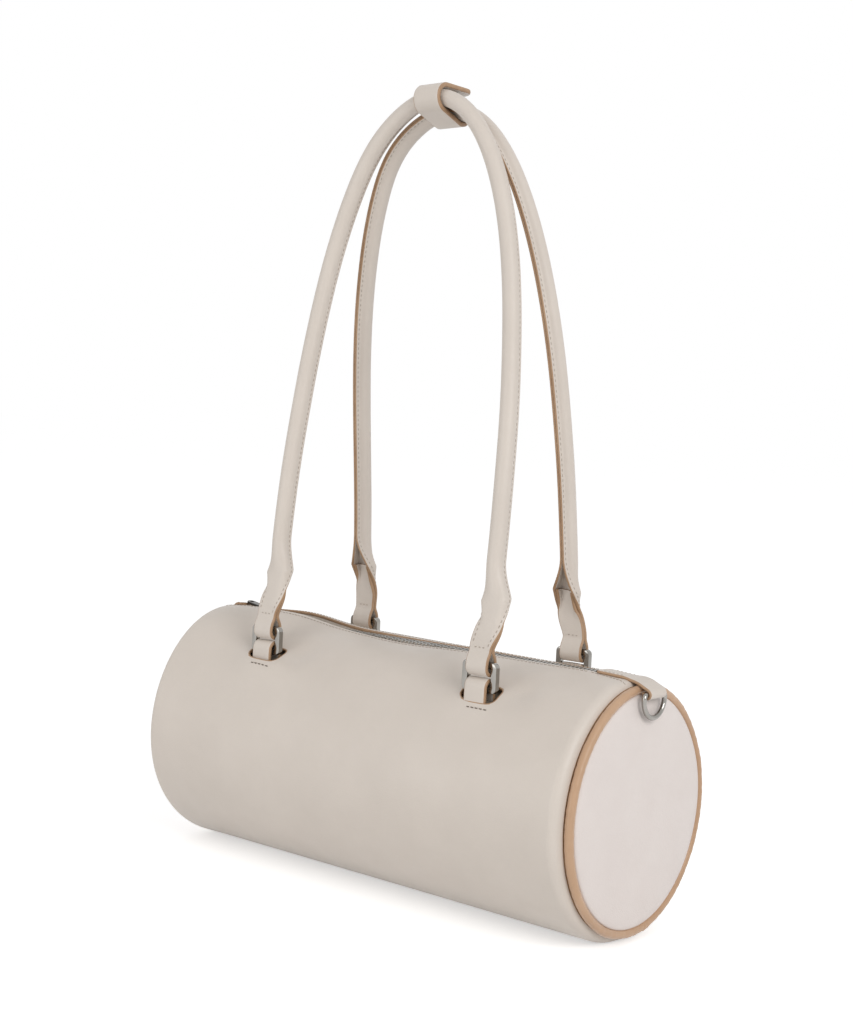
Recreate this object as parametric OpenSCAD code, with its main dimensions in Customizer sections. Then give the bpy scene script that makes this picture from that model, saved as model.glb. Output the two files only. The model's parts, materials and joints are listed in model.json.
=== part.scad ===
// Barrel bag with two rolled shoulder handles, a snap keeper and a zipped top.
// The long axis runs along X, the front faces -Y, and the origin is the middle
// of the flat strip that the bag stands on.

/* [Body] */
// Length of the wrapped body between its two end seams
body_l = 350; // [300:5:420]
// Outside radius of the body
body_r = 81.5; // [75:0.5:95]
// Thickness of the body leather
leather_t = 2; // [1.6:0.1:2.4]
// How far the round body is flattened where it stands
base_drop = 2; // [1.5:0.1:2.3]
// Radius of the soft turn of the leather into each end seam
shoulder_r = 7; // [5:0.25:8]

/* [Ends] */
// Radius of the piping round each end
piping_r = 2.7; // [2.2:0.1:3]
// Radius of the cord inside the piping
piping_core_r = 1.3; // [0.8:0.1:1.6]
// Thickness of an end panel at its seam
panel_t = 2.2; // [1.6:0.1:3]
// How far the middle of an end panel bulges out
panel_bulge = 2.6; // [0.6:0.1:3]
// Thickness of the board behind an end panel
end_board_t = 1.6; // [1:0.1:2.4]

/* [Lining] */
// Space between the leather and the lining, for the tape and the sewn tabs
lining_gap = 3.2; // [3:0.1:4]
// Thickness of the lining
lining_t = 0.8; // [0.5:0.1:1.2]
// Distance of each end of the base board from the end seam
base_board_in = 25; // [20:1:60]
// Width of the board in the base
base_board_w = 33; // [24:1:34]
// Thickness of the board in the base
base_board_t = 1.5; // [1:0.1:2]

/* [Zip] */
// Width of the gap between the two leather edges over the zip
zip_opening_w = 12; // [11:0.5:16]
// How far the rows of teeth run under the patch at each end
teeth_lap = 2; // [1:0.5:5]
// Width of one half of the tape
zip_tape_w = 11.5; // [8:0.5:14]
// Thickness of the tape
zip_tape_t = 0.8; // [0.5:0.1:0.9]
// Spacing of the teeth
tooth_pitch = 3; // [2.4:0.1:4]
// Height of a tooth
tooth_h = 2.6; // [2:0.1:2.8]
// Reach of a row of teeth from the tape towards the middle
tooth_reach = 2.8; // [2:0.1:3]
// Gap between the two rows that the slider's post runs in
tooth_gap = 1.2; // [1:0.1:1.6]
// Length of the slider
slider_l = 11; // [8:0.5:14]
// Width of the slider
slider_w = 9.4; // [8.6:0.2:9.8]
// Thickness of each plate of the slider
slider_plate_t = 1.1; // [0.8:0.1:1.4]
// Length of the pull from its pivot
pull_l = 30; // [20:1:36]
// Width of the pull
pull_w = 7; // [5:0.5:9]
// Thickness of the pull
pull_t = 1.6; // [1:0.1:2]

/* [Handle fittings] */
// Distance of each fitting from the middle of the bag, along the body
fitting_x = 92; // [75:1:115]
// Distance of each fitting from the middle of the bag, front or back
fitting_y = 50; // [44:1:54]
// Width of the leather tabs that pass through the rings
tab_w = 16.5; // [12:0.5:20]
// Thickness of the leather in those tabs
tab_t = 1.8; // [1.4:0.1:2]
// Slack of each tab round its ring bar
tab_slack = 2.1; // [1.5:0.1:2.4]
// Clear height inside a rectangular ring
ring_inner_h = 11; // [10:0.5:16]
// Width of a ring's bar, seen from the front
ring_bar_w = 4; // [3:0.1:4.2]
// Depth of a ring's bar, front to back
ring_bar_d = 4.5; // [3:0.1:4.6]

/* [Handles] */
// Height of a handle above its stitched tab
strap_rise = 345; // [250:5:420]
// Radius of the rolled part of a handle
strap_r = 5.5; // [5:0.1:6]
// Reach of the sewn fin from the middle of the roll
strap_fin = 9.3; // [8:0.1:10]
// Thickness of the sewn fin
strap_fin_t = 3; // [2:0.1:3.4]
// Thickness of the leather round the cord of a handle
strap_wall = 1.6; // [1.2:0.1:2]
// Distance of each roll from the middle plane at the top
strap_top_y = 8.5; // [8:0.1:10]
// How far the front handle stands above and the back one below their mean height
strap_top_step = 3; // [2.6:0.1:3.4]

/* [Keeper] */
// Width of the keeper along the handles
keeper_w = 24; // [16:1:28]
// Thickness of the keeper's leather
keeper_t = 2.4; // [1.8:0.1:3]
// Reach of the snap flap from its fold
flap_l = 29.5; // [26:0.5:34]
// Radius of the snap's cap
snap_r = 5.2; // [4.5:0.1:6]

/* [D-rings] */
// Clear width inside a D-ring
dring_inner_w = 20; // [16:1:22]
// Radius of the wire of a D-ring
dring_wire_r = 1.6; // [1.2:0.1:2]
// Straight length of a D-ring's sides
dring_side = 3; // [2:0.5:5]
// Width of the leather patch that covers each end of the zip
patch_w = 21; // [20:1:30]
// Length of the leather patch that covers each end of the zip
patch_l = 24; // [20:1:26]

/* [Hidden] */
$fn = 96;

// Seating gap between pieces that touch on one body
seat = 0.05;
// Clearance between pieces that move past each other
run_gap = 0.4;
// Overrun of cuts, and the overlap of the pieces of one solid
over = 1;

// Height of a circle of radius r above its centre, at y
function height_at(r, y) = sqrt(r * r - y * y);
function reversed(list) = [for (i = [len(list) - 1:-1:0]) list[i]];

// Height of the body's axis above the floor
axis_z = body_r - base_drop;
in_r = body_r - leather_t;
half_l = body_l / 2;
seam_r = body_r - shoulder_r;
seam_in_r = seam_r - leather_t;
shoulder_steps = 8;

// The body's outline from the axis out, as radius and place along the bag
function body_outline(r, half, turn) = concat(
    [[0, -half]],
    [for (i = [0:shoulder_steps]) let (a = 90 * i / shoulder_steps)
        [r - turn + turn * sin(a), -half + turn - turn * cos(a)]],
    [for (i = [shoulder_steps:-1:0]) let (a = 90 * i / shoulder_steps)
        [r - turn + turn * sin(a), half - turn + turn * cos(a)]],
    [[0, half]]);

module spin_x() {
    translate([0, 0, axis_z]) rotate([0, 90, 0]) rotate_extrude() children();
}

module along_x(length) {
    rotate([90, 0, 90]) linear_extrude(height = length, center = true) children();
}

module along_y(length) {
    rotate([90, 0, 0]) linear_extrude(height = length, center = true) children();
}

module box(x, y, z) {
    translate([x[0], y[0], z[0]]) cube([x[1] - x[0], y[1] - y[0], z[1] - z[0]]);
}

// A round body with a flat underside at the height low
module flat_barrel(r, half, turn, low) {
    intersection() {
        spin_x() polygon(body_outline(r, half, turn));
        box([-body_l, body_l], [-body_r - over, body_r + over], [low, axis_z + body_r + over]);
    }
}

module mirror_if(flip, axis) {
    if (flip) mirror(axis) children();
    else children();
}

// Handle fittings
loop_in_r = norm([ring_bar_w, ring_bar_d]) / 2 + run_gap - seat * 2;
loop_out_r = loop_in_r + tab_t;
// Distance between the two bars of a ring
ring_pitch = ring_inner_h + ring_bar_w;
ring_tab_play = 1.5;
ring_inner_w = tab_w + ring_tab_play;
// Height of the lower bars' middle above the leather round them, so that they sit in the windows
pivot_lift = 2.2;
pivot_z = axis_z + height_at(body_r, fitting_y) + pivot_lift;
pivot_top_z = pivot_z + ring_pitch;
tail_out_r = in_r - seat;
tail_in_r = tail_out_r - tab_t;
tail_deg = 9;
window_side = 0.6;
window_end = 1.3;

module fitting_windows() {
    reach = ring_outer_w / 2 + window_side;
    for (sx = [-1, 1], sy = [-1, 1])
        box([sx * fitting_x - reach, sx * fitting_x + reach],
            [sy * fitting_y - loop_out_r - window_end, sy * fitting_y + loop_out_r + window_end],
            [axis_z + body_r / 2, axis_z + body_r + over]);
}

// Zip
tape_out_r = in_r - seat;
tape_in_r = tape_out_r - zip_tape_t;
tooth_root = tooth_gap / 2 + tooth_reach;
track_z = axis_z + (height_at(tape_out_r, tooth_root) + height_at(tape_in_r, tooth_root)) / 2;
patch_in = half_l - shoulder_r - patch_l;
teeth_l = (patch_in + teeth_lap) * 2;
// Length of bare tape past each end of the teeth
zip_tail = 10;
zip_l = teeth_l + zip_tail * 2;
slot_l = zip_l + over * 2;
lining_slot_w = 16;
slider_rest = -(patch_in - slider_l);
slider_low = track_z - tooth_h / 2 - run_gap;
slider_top = track_z + tooth_h / 2 + run_gap;

module zip_slot(width) {
    box([-slot_l / 2, slot_l / 2], [-width / 2, width / 2], [axis_z, axis_z + body_r + over]);
}

// Body
module shell() {
    color([0.82, 0.78, 0.74]) difference() {
        flat_barrel(body_r, half_l, shoulder_r, 0);
        flat_barrel(in_r, half_l - leather_t, shoulder_r - leather_t, leather_t);
        spin_x() translate([0, -body_l]) square([seam_in_r, body_l * 2]);
        zip_slot(zip_opening_w);
        fitting_windows();
    }
}

lining_r = in_r - lining_gap;
lining_half = half_l - leather_t - end_board_t - panel_t - seat * 4;
board_top = leather_t + seat + base_board_t;

module lining() {
    color([0.74, 0.69, 0.62]) difference() {
        flat_barrel(lining_r, lining_half, shoulder_r - leather_t, board_top + seat);
        flat_barrel(lining_r - lining_t, lining_half - lining_t, shoulder_r - leather_t,
            board_top + seat + lining_t);
        zip_slot(lining_slot_w);
    }
}

module base_board() {
    color([0.45, 0.42, 0.38])
        box([base_board_in - half_l, half_l - base_board_in], [-base_board_w / 2, base_board_w / 2],
            [leather_t + seat, board_top]);
}

// Ends
panel_r = seam_in_r - seat;
piping_seat_share = 0.15;
piping_ring_r = seam_r + leather_t * piping_seat_share;
panel_face_r = piping_ring_r - piping_r - seat * 4;
puff_power = 4;

// The outline of an end panel, thicker and slightly bulging inside the piping
function panel_outline() = concat(
    [[0, half_l - panel_t], [panel_r, half_l - panel_t]],
    [[panel_r, half_l - seat], [panel_face_r, half_l - seat]],
    [for (i = [shoulder_steps:-1:0]) let (s = i / shoulder_steps)
        [panel_face_r * s, half_l + panel_bulge * (1 - pow(s, puff_power))]]);

module end_panel(flip) {
    color([0.88, 0.84, 0.82]) mirror_if(flip, [1, 0, 0]) spin_x() polygon(panel_outline());
}

module end_panel_left() {
    end_panel(true);
}

module end_panel_right() {
    end_panel(false);
}

module end_board(flip) {
    color([0.5, 0.47, 0.42]) mirror_if(flip, [1, 0, 0])
        translate([half_l - panel_t - seat - end_board_t, 0, axis_z]) rotate([0, 90, 0])
            cylinder(r = panel_r - leather_t, h = end_board_t);
}

module end_board_left() {
    end_board(true);
}

module end_board_right() {
    end_board(false);
}

module end_ring(flip) {
    mirror_if(flip, [1, 0, 0]) translate([half_l + piping_r + seat, 0, 0])
        spin_x() translate([piping_ring_r, 0]) children();
}

module piping(flip) {
    color([0.76, 0.62, 0.49]) end_ring(flip) difference() {
        circle(r = piping_r, $fn = 32);
        circle(r = piping_core_r + seat, $fn = 32);
    }
}

module piping_left() {
    piping(true);
}

module piping_right() {
    piping(false);
}

module piping_cord(flip) {
    color([0.9, 0.9, 0.88]) end_ring(flip) circle(r = piping_core_r, $fn = 32);
}

module piping_cord_left() {
    piping_cord(true);
}

module piping_cord_right() {
    piping_cord(false);
}

// Zip parts
module zip_tape(flip) {
    color([0.8, 0.75, 0.68]) mirror_if(flip, [0, 1, 0]) translate([0, 0, axis_z]) along_x(zip_l)
        intersection() {
            difference() {
                circle(r = tape_out_r);
                circle(r = tape_in_r);
            }
            translate([tooth_root, 0]) square([zip_tape_w, body_r]);
        }
}

module zip_tape_front() {
    zip_tape(true);
}

module zip_tape_back() {
    zip_tape(false);
}

tooth_count = floor(teeth_l / tooth_pitch);
tooth_width_share = 0.55;
tooth_bead = tooth_reach / 2;

// One row of teeth as a comb: the bead along the tape, and a tooth at every pitch
function comb_points() = concat(
    [[-teeth_l / 2, tooth_root], [-teeth_l / 2, tooth_root - tooth_bead]],
    [for (i = [0:tooth_count - 1]) let (
        from = -teeth_l / 2 + tooth_pitch * (i + (1 - tooth_width_share) / 2),
        to = from + tooth_pitch * tooth_width_share)
        for (p = [[from, tooth_root - tooth_bead], [from, tooth_gap / 2],
                  [to, tooth_gap / 2], [to, tooth_root - tooth_bead]]) p],
    [[teeth_l / 2, tooth_root - tooth_bead], [teeth_l / 2, tooth_root]]);

module zip_teeth(flip) {
    color([0.78, 0.78, 0.78]) mirror_if(flip, [0, 1, 0]) translate([0, 0, track_z])
        linear_extrude(height = tooth_h, center = true) polygon(comb_points());
}

module zip_teeth_front() {
    zip_teeth(true);
}

module zip_teeth_back() {
    zip_teeth(false);
}

stop_l = 3;
stop_w = tooth_reach - seat * 2;

module zip_stops() {
    color([0.6, 0.6, 0.6]) for (end = [-1, 1], sy = [-1, 1])
        translate([end * (teeth_l / 2 + stop_l / 2 + seat), sy * (tooth_gap + tooth_reach) / 2, track_z])
            cube([stop_l, stop_w, tooth_h], center = true);
}

flange_t = 0.8;
post_l = 2.4;
post_w = tooth_gap - run_gap - seat * 2;
bail_r = 1;
bail_lift = 2.6;
bail_z = slider_top + slider_plate_t + bail_lift;
lug_w = 1.6;

module zip_slider() {
    color([0.35, 0.33, 0.3]) translate([slider_rest, 0, 0]) {
        for (z = [slider_low - slider_plate_t, slider_top])
            box([-slider_l / 2, slider_l / 2], [-slider_w / 2, slider_w / 2], [z, z + slider_plate_t]);
        for (sy = [-1, 1])
            translate([0, sy * (slider_w - flange_t) / 2, slider_top])
                cube([slider_l, flange_t, run_gap], center = true);
        box([-slider_l / 2, -slider_l / 2 + post_l], [-post_w / 2, post_w / 2],
            [slider_low - slider_plate_t / 2, slider_top + slider_plate_t / 2]);
        difference() {
            union() {
                for (sy = [-1, 1])
                    box([-bail_r * 2, bail_r * 2], [sy * pull_w / 4 - lug_w / 2, sy * pull_w / 4 + lug_w / 2],
                        [slider_top + slider_plate_t / 2, bail_z + bail_r * 2]);
            }
            translate([0, 0, bail_z]) rotate([90, 0, 0])
                cylinder(r = bail_r + run_gap / 4, h = pull_w * 2, center = true);
        }
    }
}

neck_w = pull_w / 2 - lug_w - run_gap;
pull_hole_r = pull_w / 5;
pin_end = 0.4;

// The pull swings on its own cross pin, between the two lugs of the slider
module zip_pull() {
    color([0.42, 0.4, 0.37]) translate([slider_rest, 0, bail_z]) {
        rotate([90, 0, 0]) cylinder(r = bail_r, h = pull_w / 2 + lug_w + pin_end, center = true);
        translate([0, 0, -pull_t / 2]) linear_extrude(height = pull_t) difference() {
            union() {
                translate([-pull_l / 3, -neck_w / 2]) square([pull_l / 3, neck_w]);
                translate([-pull_l + pull_w / 2, -pull_w / 2]) square([pull_l * 2 / 3 - pull_w / 2, pull_w]);
                translate([-pull_l + pull_w / 2, 0]) circle(r = pull_w / 2);
            }
            translate([-pull_l + pull_w / 2, 0]) circle(r = pull_hole_r);
        }
    }
}

// End tabs and D-rings
dring_x = half_l + piping_r * 2 + seat + run_gap + dring_wire_r + run_gap + tab_t;
dring_z = axis_z + piping_ring_r - piping_r - seat * 4;
dring_loop_in = dring_wire_r + run_gap;
dring_loop_out = dring_loop_in + tab_t;
dring_tab_play = 2;
end_tab_w = dring_inner_w - dring_tab_play;
tab_over_z = axis_z + body_r + seat;
patch_nose_share = 0.86;
tab_slope_share = 0.7;

// The tab's path over the shoulder and the piping, as points of its lower face
function tab_face(offset) = [
    [half_l - shoulder_r - patch_l / 3, tab_over_z + offset],
    [half_l - shoulder_r / 2, tab_over_z + offset],
    [half_l + piping_r, tab_over_z - shoulder_r / 4 + offset],
    [dring_x, dring_z + dring_loop_in + tab_t / 2 + offset * tab_slope_share]];

module end_tab(flip) {
    color([0.84, 0.8, 0.76]) mirror_if(flip, [1, 0, 0]) {
        intersection() {
            translate([0, 0, axis_z]) rotate([0, 90, 0]) difference() {
                cylinder(r = body_r + seat + tab_t, h = half_l);
                cylinder(r = body_r + seat, h = half_l);
            }
            translate([0, 0, axis_z]) linear_extrude(height = body_r + tab_t + over)
                polygon([[patch_in, -patch_w / 2 * patch_nose_share], [patch_in + patch_l / 3, -patch_w / 2],
                    [patch_in + patch_l, -patch_w / 2], [patch_in + patch_l, patch_w / 2],
                    [patch_in + patch_l / 3, patch_w / 2], [patch_in, patch_w / 2 * patch_nose_share]]);
        }
        along_y(end_tab_w) polygon(concat(tab_face(tab_t), reversed(tab_face(0))));
        translate([dring_x, 0, dring_z]) along_y(end_tab_w) difference() {
            circle(r = dring_loop_out, $fn = 48);
            circle(r = dring_loop_in, $fn = 48);
        }
    }
}

module end_tab_left() {
    end_tab(true);
}

module end_tab_right() {
    end_tab(false);
}

dring_bow_r = dring_inner_w / 2 + dring_wire_r;

module d_ring(flip) {
    color([0.75, 0.75, 0.75]) mirror_if(flip, [1, 0, 0]) translate([dring_x, 0, dring_z]) {
        rotate([90, 0, 0]) cylinder(r = dring_wire_r, h = dring_bow_r * 2, center = true, $fn = 32);
        for (sy = [-1, 1]) {
            translate([0, sy * dring_bow_r, -dring_side])
                cylinder(r = dring_wire_r, h = dring_side, $fn = 32);
            translate([0, sy * dring_bow_r, 0]) sphere(r = dring_wire_r, $fn = 32);
        }
        translate([0, 0, -dring_side]) rotate([0, 90, 0]) rotate([0, 0, -90])
            rotate_extrude(angle = 180) translate([dring_bow_r, 0]) circle(r = dring_wire_r, $fn = 32);
    }
}

module d_ring_left() {
    d_ring(true);
}

module d_ring_right() {
    d_ring(false);
}

// Anchor tabs and rings of the handles
function wedge(from, to, r) = [[0, 0], [r * sin(from), r * cos(from)], [r * sin(to), r * cos(to)]];

module tab_tail(from, to) {
    intersection() {
        difference() {
            circle(r = tail_out_r);
            circle(r = tail_in_r);
        }
        polygon(wedge(from, to, body_r * 2));
    }
}

module anchor_outline() {
    loop_h = pivot_z - axis_z + tab_slack;
    difference() {
        union() {
            translate([fitting_y, loop_h]) circle(r = loop_out_r, $fn = 64);
            translate([fitting_y - loop_out_r, 0]) square([loop_out_r * 2, loop_h]);
        }
        translate([fitting_y, loop_h]) circle(r = loop_in_r, $fn = 64);
        translate([fitting_y - loop_in_r, -over]) square([loop_in_r * 2, loop_h + over]);
        circle(r = tail_in_r);
    }
    outer = asin((fitting_y + loop_in_r + tab_t / 2) / tail_out_r);
    inner = asin((fitting_y - loop_in_r - tab_t / 2) / tail_out_r);
    tab_tail(outer, outer + tail_deg);
    tab_tail(inner - tail_deg, inner);
}

module anchor_tab(sx, front) {
    color([0.84, 0.8, 0.76]) mirror_if(front, [0, 1, 0])
        translate([sx * fitting_x, 0, axis_z]) along_x(tab_w) anchor_outline();
}

module anchor_tab_front_left() {
    anchor_tab(-1, true);
}

module anchor_tab_front_right() {
    anchor_tab(1, true);
}

module anchor_tab_back_left() {
    anchor_tab(-1, false);
}

module anchor_tab_back_right() {
    anchor_tab(1, false);
}

ring_corner_r = 1.2;
ring_outer_w = ring_inner_w + ring_bar_w * 2;
ring_outer_h = ring_inner_h + ring_bar_w * 2;

module rounded_plate(w, h, r) {
    square([w - r * 2, h], center = true);
    square([w, h - r * 2], center = true);
    for (sx = [-1, 1], sy = [-1, 1])
        translate([sx * (w / 2 - r), sy * (h / 2 - r)]) circle(r = r, $fn = 32);
}

module ring(sx, sy) {
    color([0.8, 0.8, 0.8]) translate([sx * fitting_x, sy * fitting_y, (pivot_z + pivot_top_z) / 2])
        along_y(ring_bar_d) difference() {
            rounded_plate(ring_outer_w, ring_outer_h, ring_corner_r);
            square([ring_inner_w, ring_inner_h], center = true);
        }
}

module ring_front_left() {
    ring(-1, -1);
}

module ring_front_right() {
    ring(1, -1);
}

module ring_back_left() {
    ring(-1, 1);
}

module ring_back_right() {
    ring(1, 1);
}

// Handles
loop_side_h = 1.8;
loop_join_h = 7.6;
strap_start_h = 9;
strap_start_z = pivot_top_z + strap_start_h;
strap_base_y = fitting_y - strap_r;
open_l = 26;
flat_half_t = tab_t - seat;
flat_half_w = tab_w / 2 - seat * 4;

module handle_loop_outline() {
    difference() {
        union() {
            translate([0, -tab_slack]) circle(r = loop_out_r, $fn = 64);
            polygon([[-loop_out_r, -tab_slack], [-loop_out_r, loop_side_h], [-tab_t, loop_join_h],
                [-tab_t, strap_start_h + over], [tab_t, strap_start_h + over], [tab_t, loop_join_h],
                [loop_out_r, loop_side_h], [loop_out_r, -tab_slack]]);
        }
        translate([0, -tab_slack]) circle(r = loop_in_r, $fn = 64);
        polygon([[-loop_in_r, -tab_slack], [-loop_in_r, loop_side_h - tab_t / 4],
            [0, loop_join_h - tab_t / 2], [loop_in_r, loop_side_h - tab_t / 4],
            [loop_in_r, -tab_slack]]);
    }
}

// The line of a handle. v runs from 0 at the left tab to 1 at the top and 2 at the right tab
arch_power = 1.5;
function arch_turn(h) = 90 * pow(h, arch_power);
function rise_share(h) = pow(sin(arch_turn(h)), 1 / arch_power);
function strap_line(v, sy) = let (h = v > 1 ? 2 - v : v, a = arch_turn(h), t = rise_share(h),
    rise = strap_rise - sy * strap_top_step)
    [(v > 1 ? 1 : -1) * fitting_x * cos(a),
     sy * (strap_top_y + (strap_base_y - strap_top_y) * (1 + cos(180 * t)) / 2),
     strap_start_z + rise * t];

// Places along a handle, close together where the flat tab closes into a roll
strap_end_shares = [0, 0.008, 0.016, 0.025, 0.035, 0.045, 0.056, 0.07];
strap_steps = 22;
strap_stations = concat(
    strap_end_shares,
    [for (i = [2:strap_steps]) i / strap_steps],
    [for (i = [strap_steps - 1:-1:2]) 2 - i / strap_steps],
    [for (i = [len(strap_end_shares) - 1:-1:0]) 2 - strap_end_shares[i]]);

function unit(v) = v / norm(v);
function ease(s) = let (c = min(1, max(0, s))) c * c * (3 - 2 * c);

// Half of the cross-section from the fin's edge round to the outside, rolled and laid flat
roll_end_turn = 6;
roll_half = concat(
    [[strap_fin, strap_fin_t / 2], [strap_r + strap_fin_t / 3, strap_fin_t / 2]],
    [for (a = [40, 65, 90, 120, 150]) [strap_r * cos(a), strap_r * sin(a)]],
    [[-strap_r, strap_r * sin(roll_end_turn)]]);
flat_shares = [[1, 0.2], [1, 0.6], [1, 0.92], [0.6, 1], [0, 1], [-0.6, 1], [-1, 0.92], [-1, 0.2]];
flat_half = [for (p = flat_shares) [-strap_r + flat_half_t * p[0], flat_half_w * p[1]]];

function mirror_half(half) = concat(half, reversed([for (p = half) [p[0], -p[1]]]));
function mix(a, b, s) = [for (i = [0:len(a) - 1]) a[i] * (1 - s) + b[i] * s];

// A ring of points round the handle's line at v
slope_step_share = 0.002;
function strap_ring(v, sy, outline) = let (
    c = strap_line(v, sy),
    low = max(0, v - slope_step_share),
    high = min(2, v + slope_step_share),
    raw = strap_line(high, sy) - strap_line(low, sy),
    along = v < slope_step_share || v > 2 - slope_step_share ? [0, 0, v > 1 ? -1 : 1] : unit(raw),
    inward = [0, -sy, 0],
    fin = unit(inward - along * (inward * along)),
    side = cross(along, fin))
    [for (p = outline) c + fin * p[0] + side * p[1]];

function tube_faces(rings, sides) = concat(
    [for (r = [0:rings - 2], s = [0:sides - 1], k = [0, 1]) let (
        a = r * sides + s, b = r * sides + (s + 1) % sides, c = a + sides, d = b + sides)
        k == 0 ? [a, d, b] : [a, c, d]],
    [[for (s = [0:sides - 1]) s]],
    [[for (s = [sides - 1:-1:0]) (rings - 1) * sides + s]]);

module strap_skin(sy) {
    rings = [for (v = strap_stations) let (h = strap_line(v, sy)[2] - strap_start_z)
        strap_ring(v, sy, mix(mirror_half(flat_half), mirror_half(roll_half), ease(h / open_l)))];
    polyhedron(points = [for (r = rings) for (p = r) p],
        faces = tube_faces(len(rings), len(rings[0])), convexity = 10);
}

cord_sides = 12;
cord_stations = concat(
    [for (i = [3:strap_steps]) i / strap_steps],
    [for (i = [strap_steps - 1:-1:3]) 2 - i / strap_steps]);

module strap_cord(sy, r) {
    outline = [for (i = [0:cord_sides - 1]) [r * cos(i * 360 / cord_sides), r * sin(i * 360 / cord_sides)]];
    rings = [for (v = cord_stations) strap_ring(v, sy, outline)];
    polyhedron(points = [for (q = rings) for (p = q) p],
        faces = tube_faces(len(rings), cord_sides), convexity = 10);
}

module handle(sy) {
    color([0.86, 0.82, 0.78]) difference() {
        union() {
            strap_skin(sy);
            for (sx = [-1, 1])
                translate([sx * fitting_x, sy * fitting_y, pivot_top_z]) along_x(tab_w) handle_loop_outline();
        }
        strap_cord(sy, strap_r - strap_wall);
    }
}

module handle_front() {
    handle(-1);
}

module handle_back() {
    handle(1);
}

module handle_cord_front() {
    color([0.9, 0.9, 0.88]) strap_cord(-1, strap_r - strap_wall - seat * 3);
}

module handle_cord_back() {
    color([0.9, 0.9, 0.88]) strap_cord(1, strap_r - strap_wall - seat * 3);
}

// Keeper
strap_top_z = strap_start_z + strap_rise;
// The handles drop a little within the keeper's width, so it hangs below them
keeper_sag = strap_rise * pow(keeper_w / 2, 2) / (3 * fitting_x * fitting_x);
keeper_in_r = strap_r + run_gap * 1.5 + keeper_sag / 2;
keeper_out_r = keeper_in_r + keeper_t;
keeper_drop = keeper_sag / 2;
keeper_tilt = atan2(-strap_top_step, strap_top_y);
front_c = [-strap_top_y, strap_top_step - keeper_drop];
back_c = [strap_top_y, -strap_top_step - keeper_drop];
fold_y = front_c[0];
fold_z = front_c[1] + keeper_in_r + keeper_t / 2;
fold_r = keeper_t / 2;

keeper_arc_step = 7.5;

// Points on an arc about c, from one angle to another
function arc(c, r, from, to) = let (n = ceil(abs(to - from) / keeper_arc_step))
    [for (i = [0:n]) let (a = from + (to - from) * i / n) c + r * [cos(a), sin(a)]];

// Room between the flap's fold and the band, so that the flap can lie back
fold_room = run_gap * 3;
// Angles at which the band leaves the top of a roll, counted on from the first one
front_top = 90;
back_top = 450;

// One face of the band: round the front roll, straight below both, round the back roll, flat under the snap
function keeper_face(r) = let (under = 270 + keeper_tilt, start = front_top + asin((fold_r + fold_room) / r))
    concat(arc(front_c, r, start, under), arc(back_c, r, under, back_top), [[lower_end, back_c[1] + r]]);

module keeper_band() {
    color([0.84, 0.8, 0.76]) translate([0, 0, strap_top_z]) difference() {
        along_x(keeper_w) polygon(concat(keeper_face(keeper_out_r), reversed(keeper_face(keeper_in_r))));
        translate([0, snap_y, back_c[1]]) cylinder(r = snap_post_r + seat, h = keeper_out_r + over, $fn = 32);
        translate([0, snap_y, lower_top - keeper_t - eyelet_t - seat * 2])
            cylinder(r = snap_eyelet_r + seat, h = eyelet_t + seat * 2, $fn = 32);
    }
}

snap_in = 0.6;
snap_margin = 1.2;
snap_y = back_c[0] - snap_in;
snap_post_r = 1.5;
snap_stud_r = 3.6;
snap_socket_r = 4.2;
snap_eyelet_r = 2.6;
lower_end = snap_y - snap_stud_r - snap_margin;
snap_cap_t = 1.2;
lower_top = back_c[1] + keeper_out_r;
flap_low = fold_z - keeper_t / 2;
flap_high = fold_z + keeper_t / 2;
flap_gap = flap_low - lower_top;
stud_base_t = 0.7;
eyelet_t = 0.35;
flap_round_share = 0.8;
// The outline of the cap's rounded edge, as shares of its radius and thickness
cap_shares = [[1, 0.4], [0.8, 0.85], [0.4, 1]];

module keeper_flap() {
    color([0.84, 0.8, 0.76]) translate([0, 0, strap_top_z]) difference() {
        union() {
            translate([0, fold_y, fold_z]) rotate([0, 90, 0])
                cylinder(r = fold_r, h = keeper_w, center = true, $fn = 48);
            box([-keeper_w / 2, keeper_w / 2],
                [fold_y, fold_y + flap_l - keeper_w / 2 * flap_round_share], [flap_low, flap_high]);
            translate([0, fold_y + flap_l - keeper_w / 2, flap_low]) cylinder(r = keeper_w / 2, h = keeper_t);
        }
        translate([0, snap_y, flap_low - over])
            cylinder(r = snap_post_r + seat, h = keeper_t + over * 2, $fn = 32);
    }
}

module snap_cap() {
    color([0.3, 0.29, 0.27]) translate([0, snap_y, strap_top_z]) rotate_extrude() polygon(concat(
        [[0, flap_low + seat], [snap_post_r, flap_low + seat], [snap_post_r, flap_high + seat]],
        [[snap_r, flap_high + seat]],
        [for (p = cap_shares) [snap_r * p[0], flap_high + snap_cap_t * p[1]]],
        [[0, flap_high + snap_cap_t]]));
}

socket_t = flap_gap - stud_base_t - run_gap;

module snap_socket() {
    socket_low = strap_top_z + flap_low - socket_t - seat / 2;
    color([0.3, 0.29, 0.27]) translate([0, snap_y, socket_low]) difference() {
        cylinder(r = snap_socket_r, h = socket_t);
        translate([0, 0, -over]) cylinder(r = snap_post_r + run_gap * 1.5, h = socket_t + over - stud_base_t);
    }
}

module snap_stud() {
    color([0.3, 0.29, 0.27]) translate([0, snap_y, strap_top_z]) {
        translate([0, 0, lower_top + seat]) cylinder(r = snap_stud_r, h = stud_base_t);
        translate([0, 0, lower_top - keeper_t + seat])
            cylinder(r = snap_post_r, h = keeper_t + flap_gap - stud_base_t - run_gap - seat * 2, $fn = 32);
    }
}

module snap_eyelet() {
    color([0.3, 0.29, 0.27]) translate([0, snap_y, strap_top_z + lower_top - keeper_t - eyelet_t])
        cylinder(r = snap_eyelet_r, h = eyelet_t - seat, $fn = 32);
}

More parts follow.
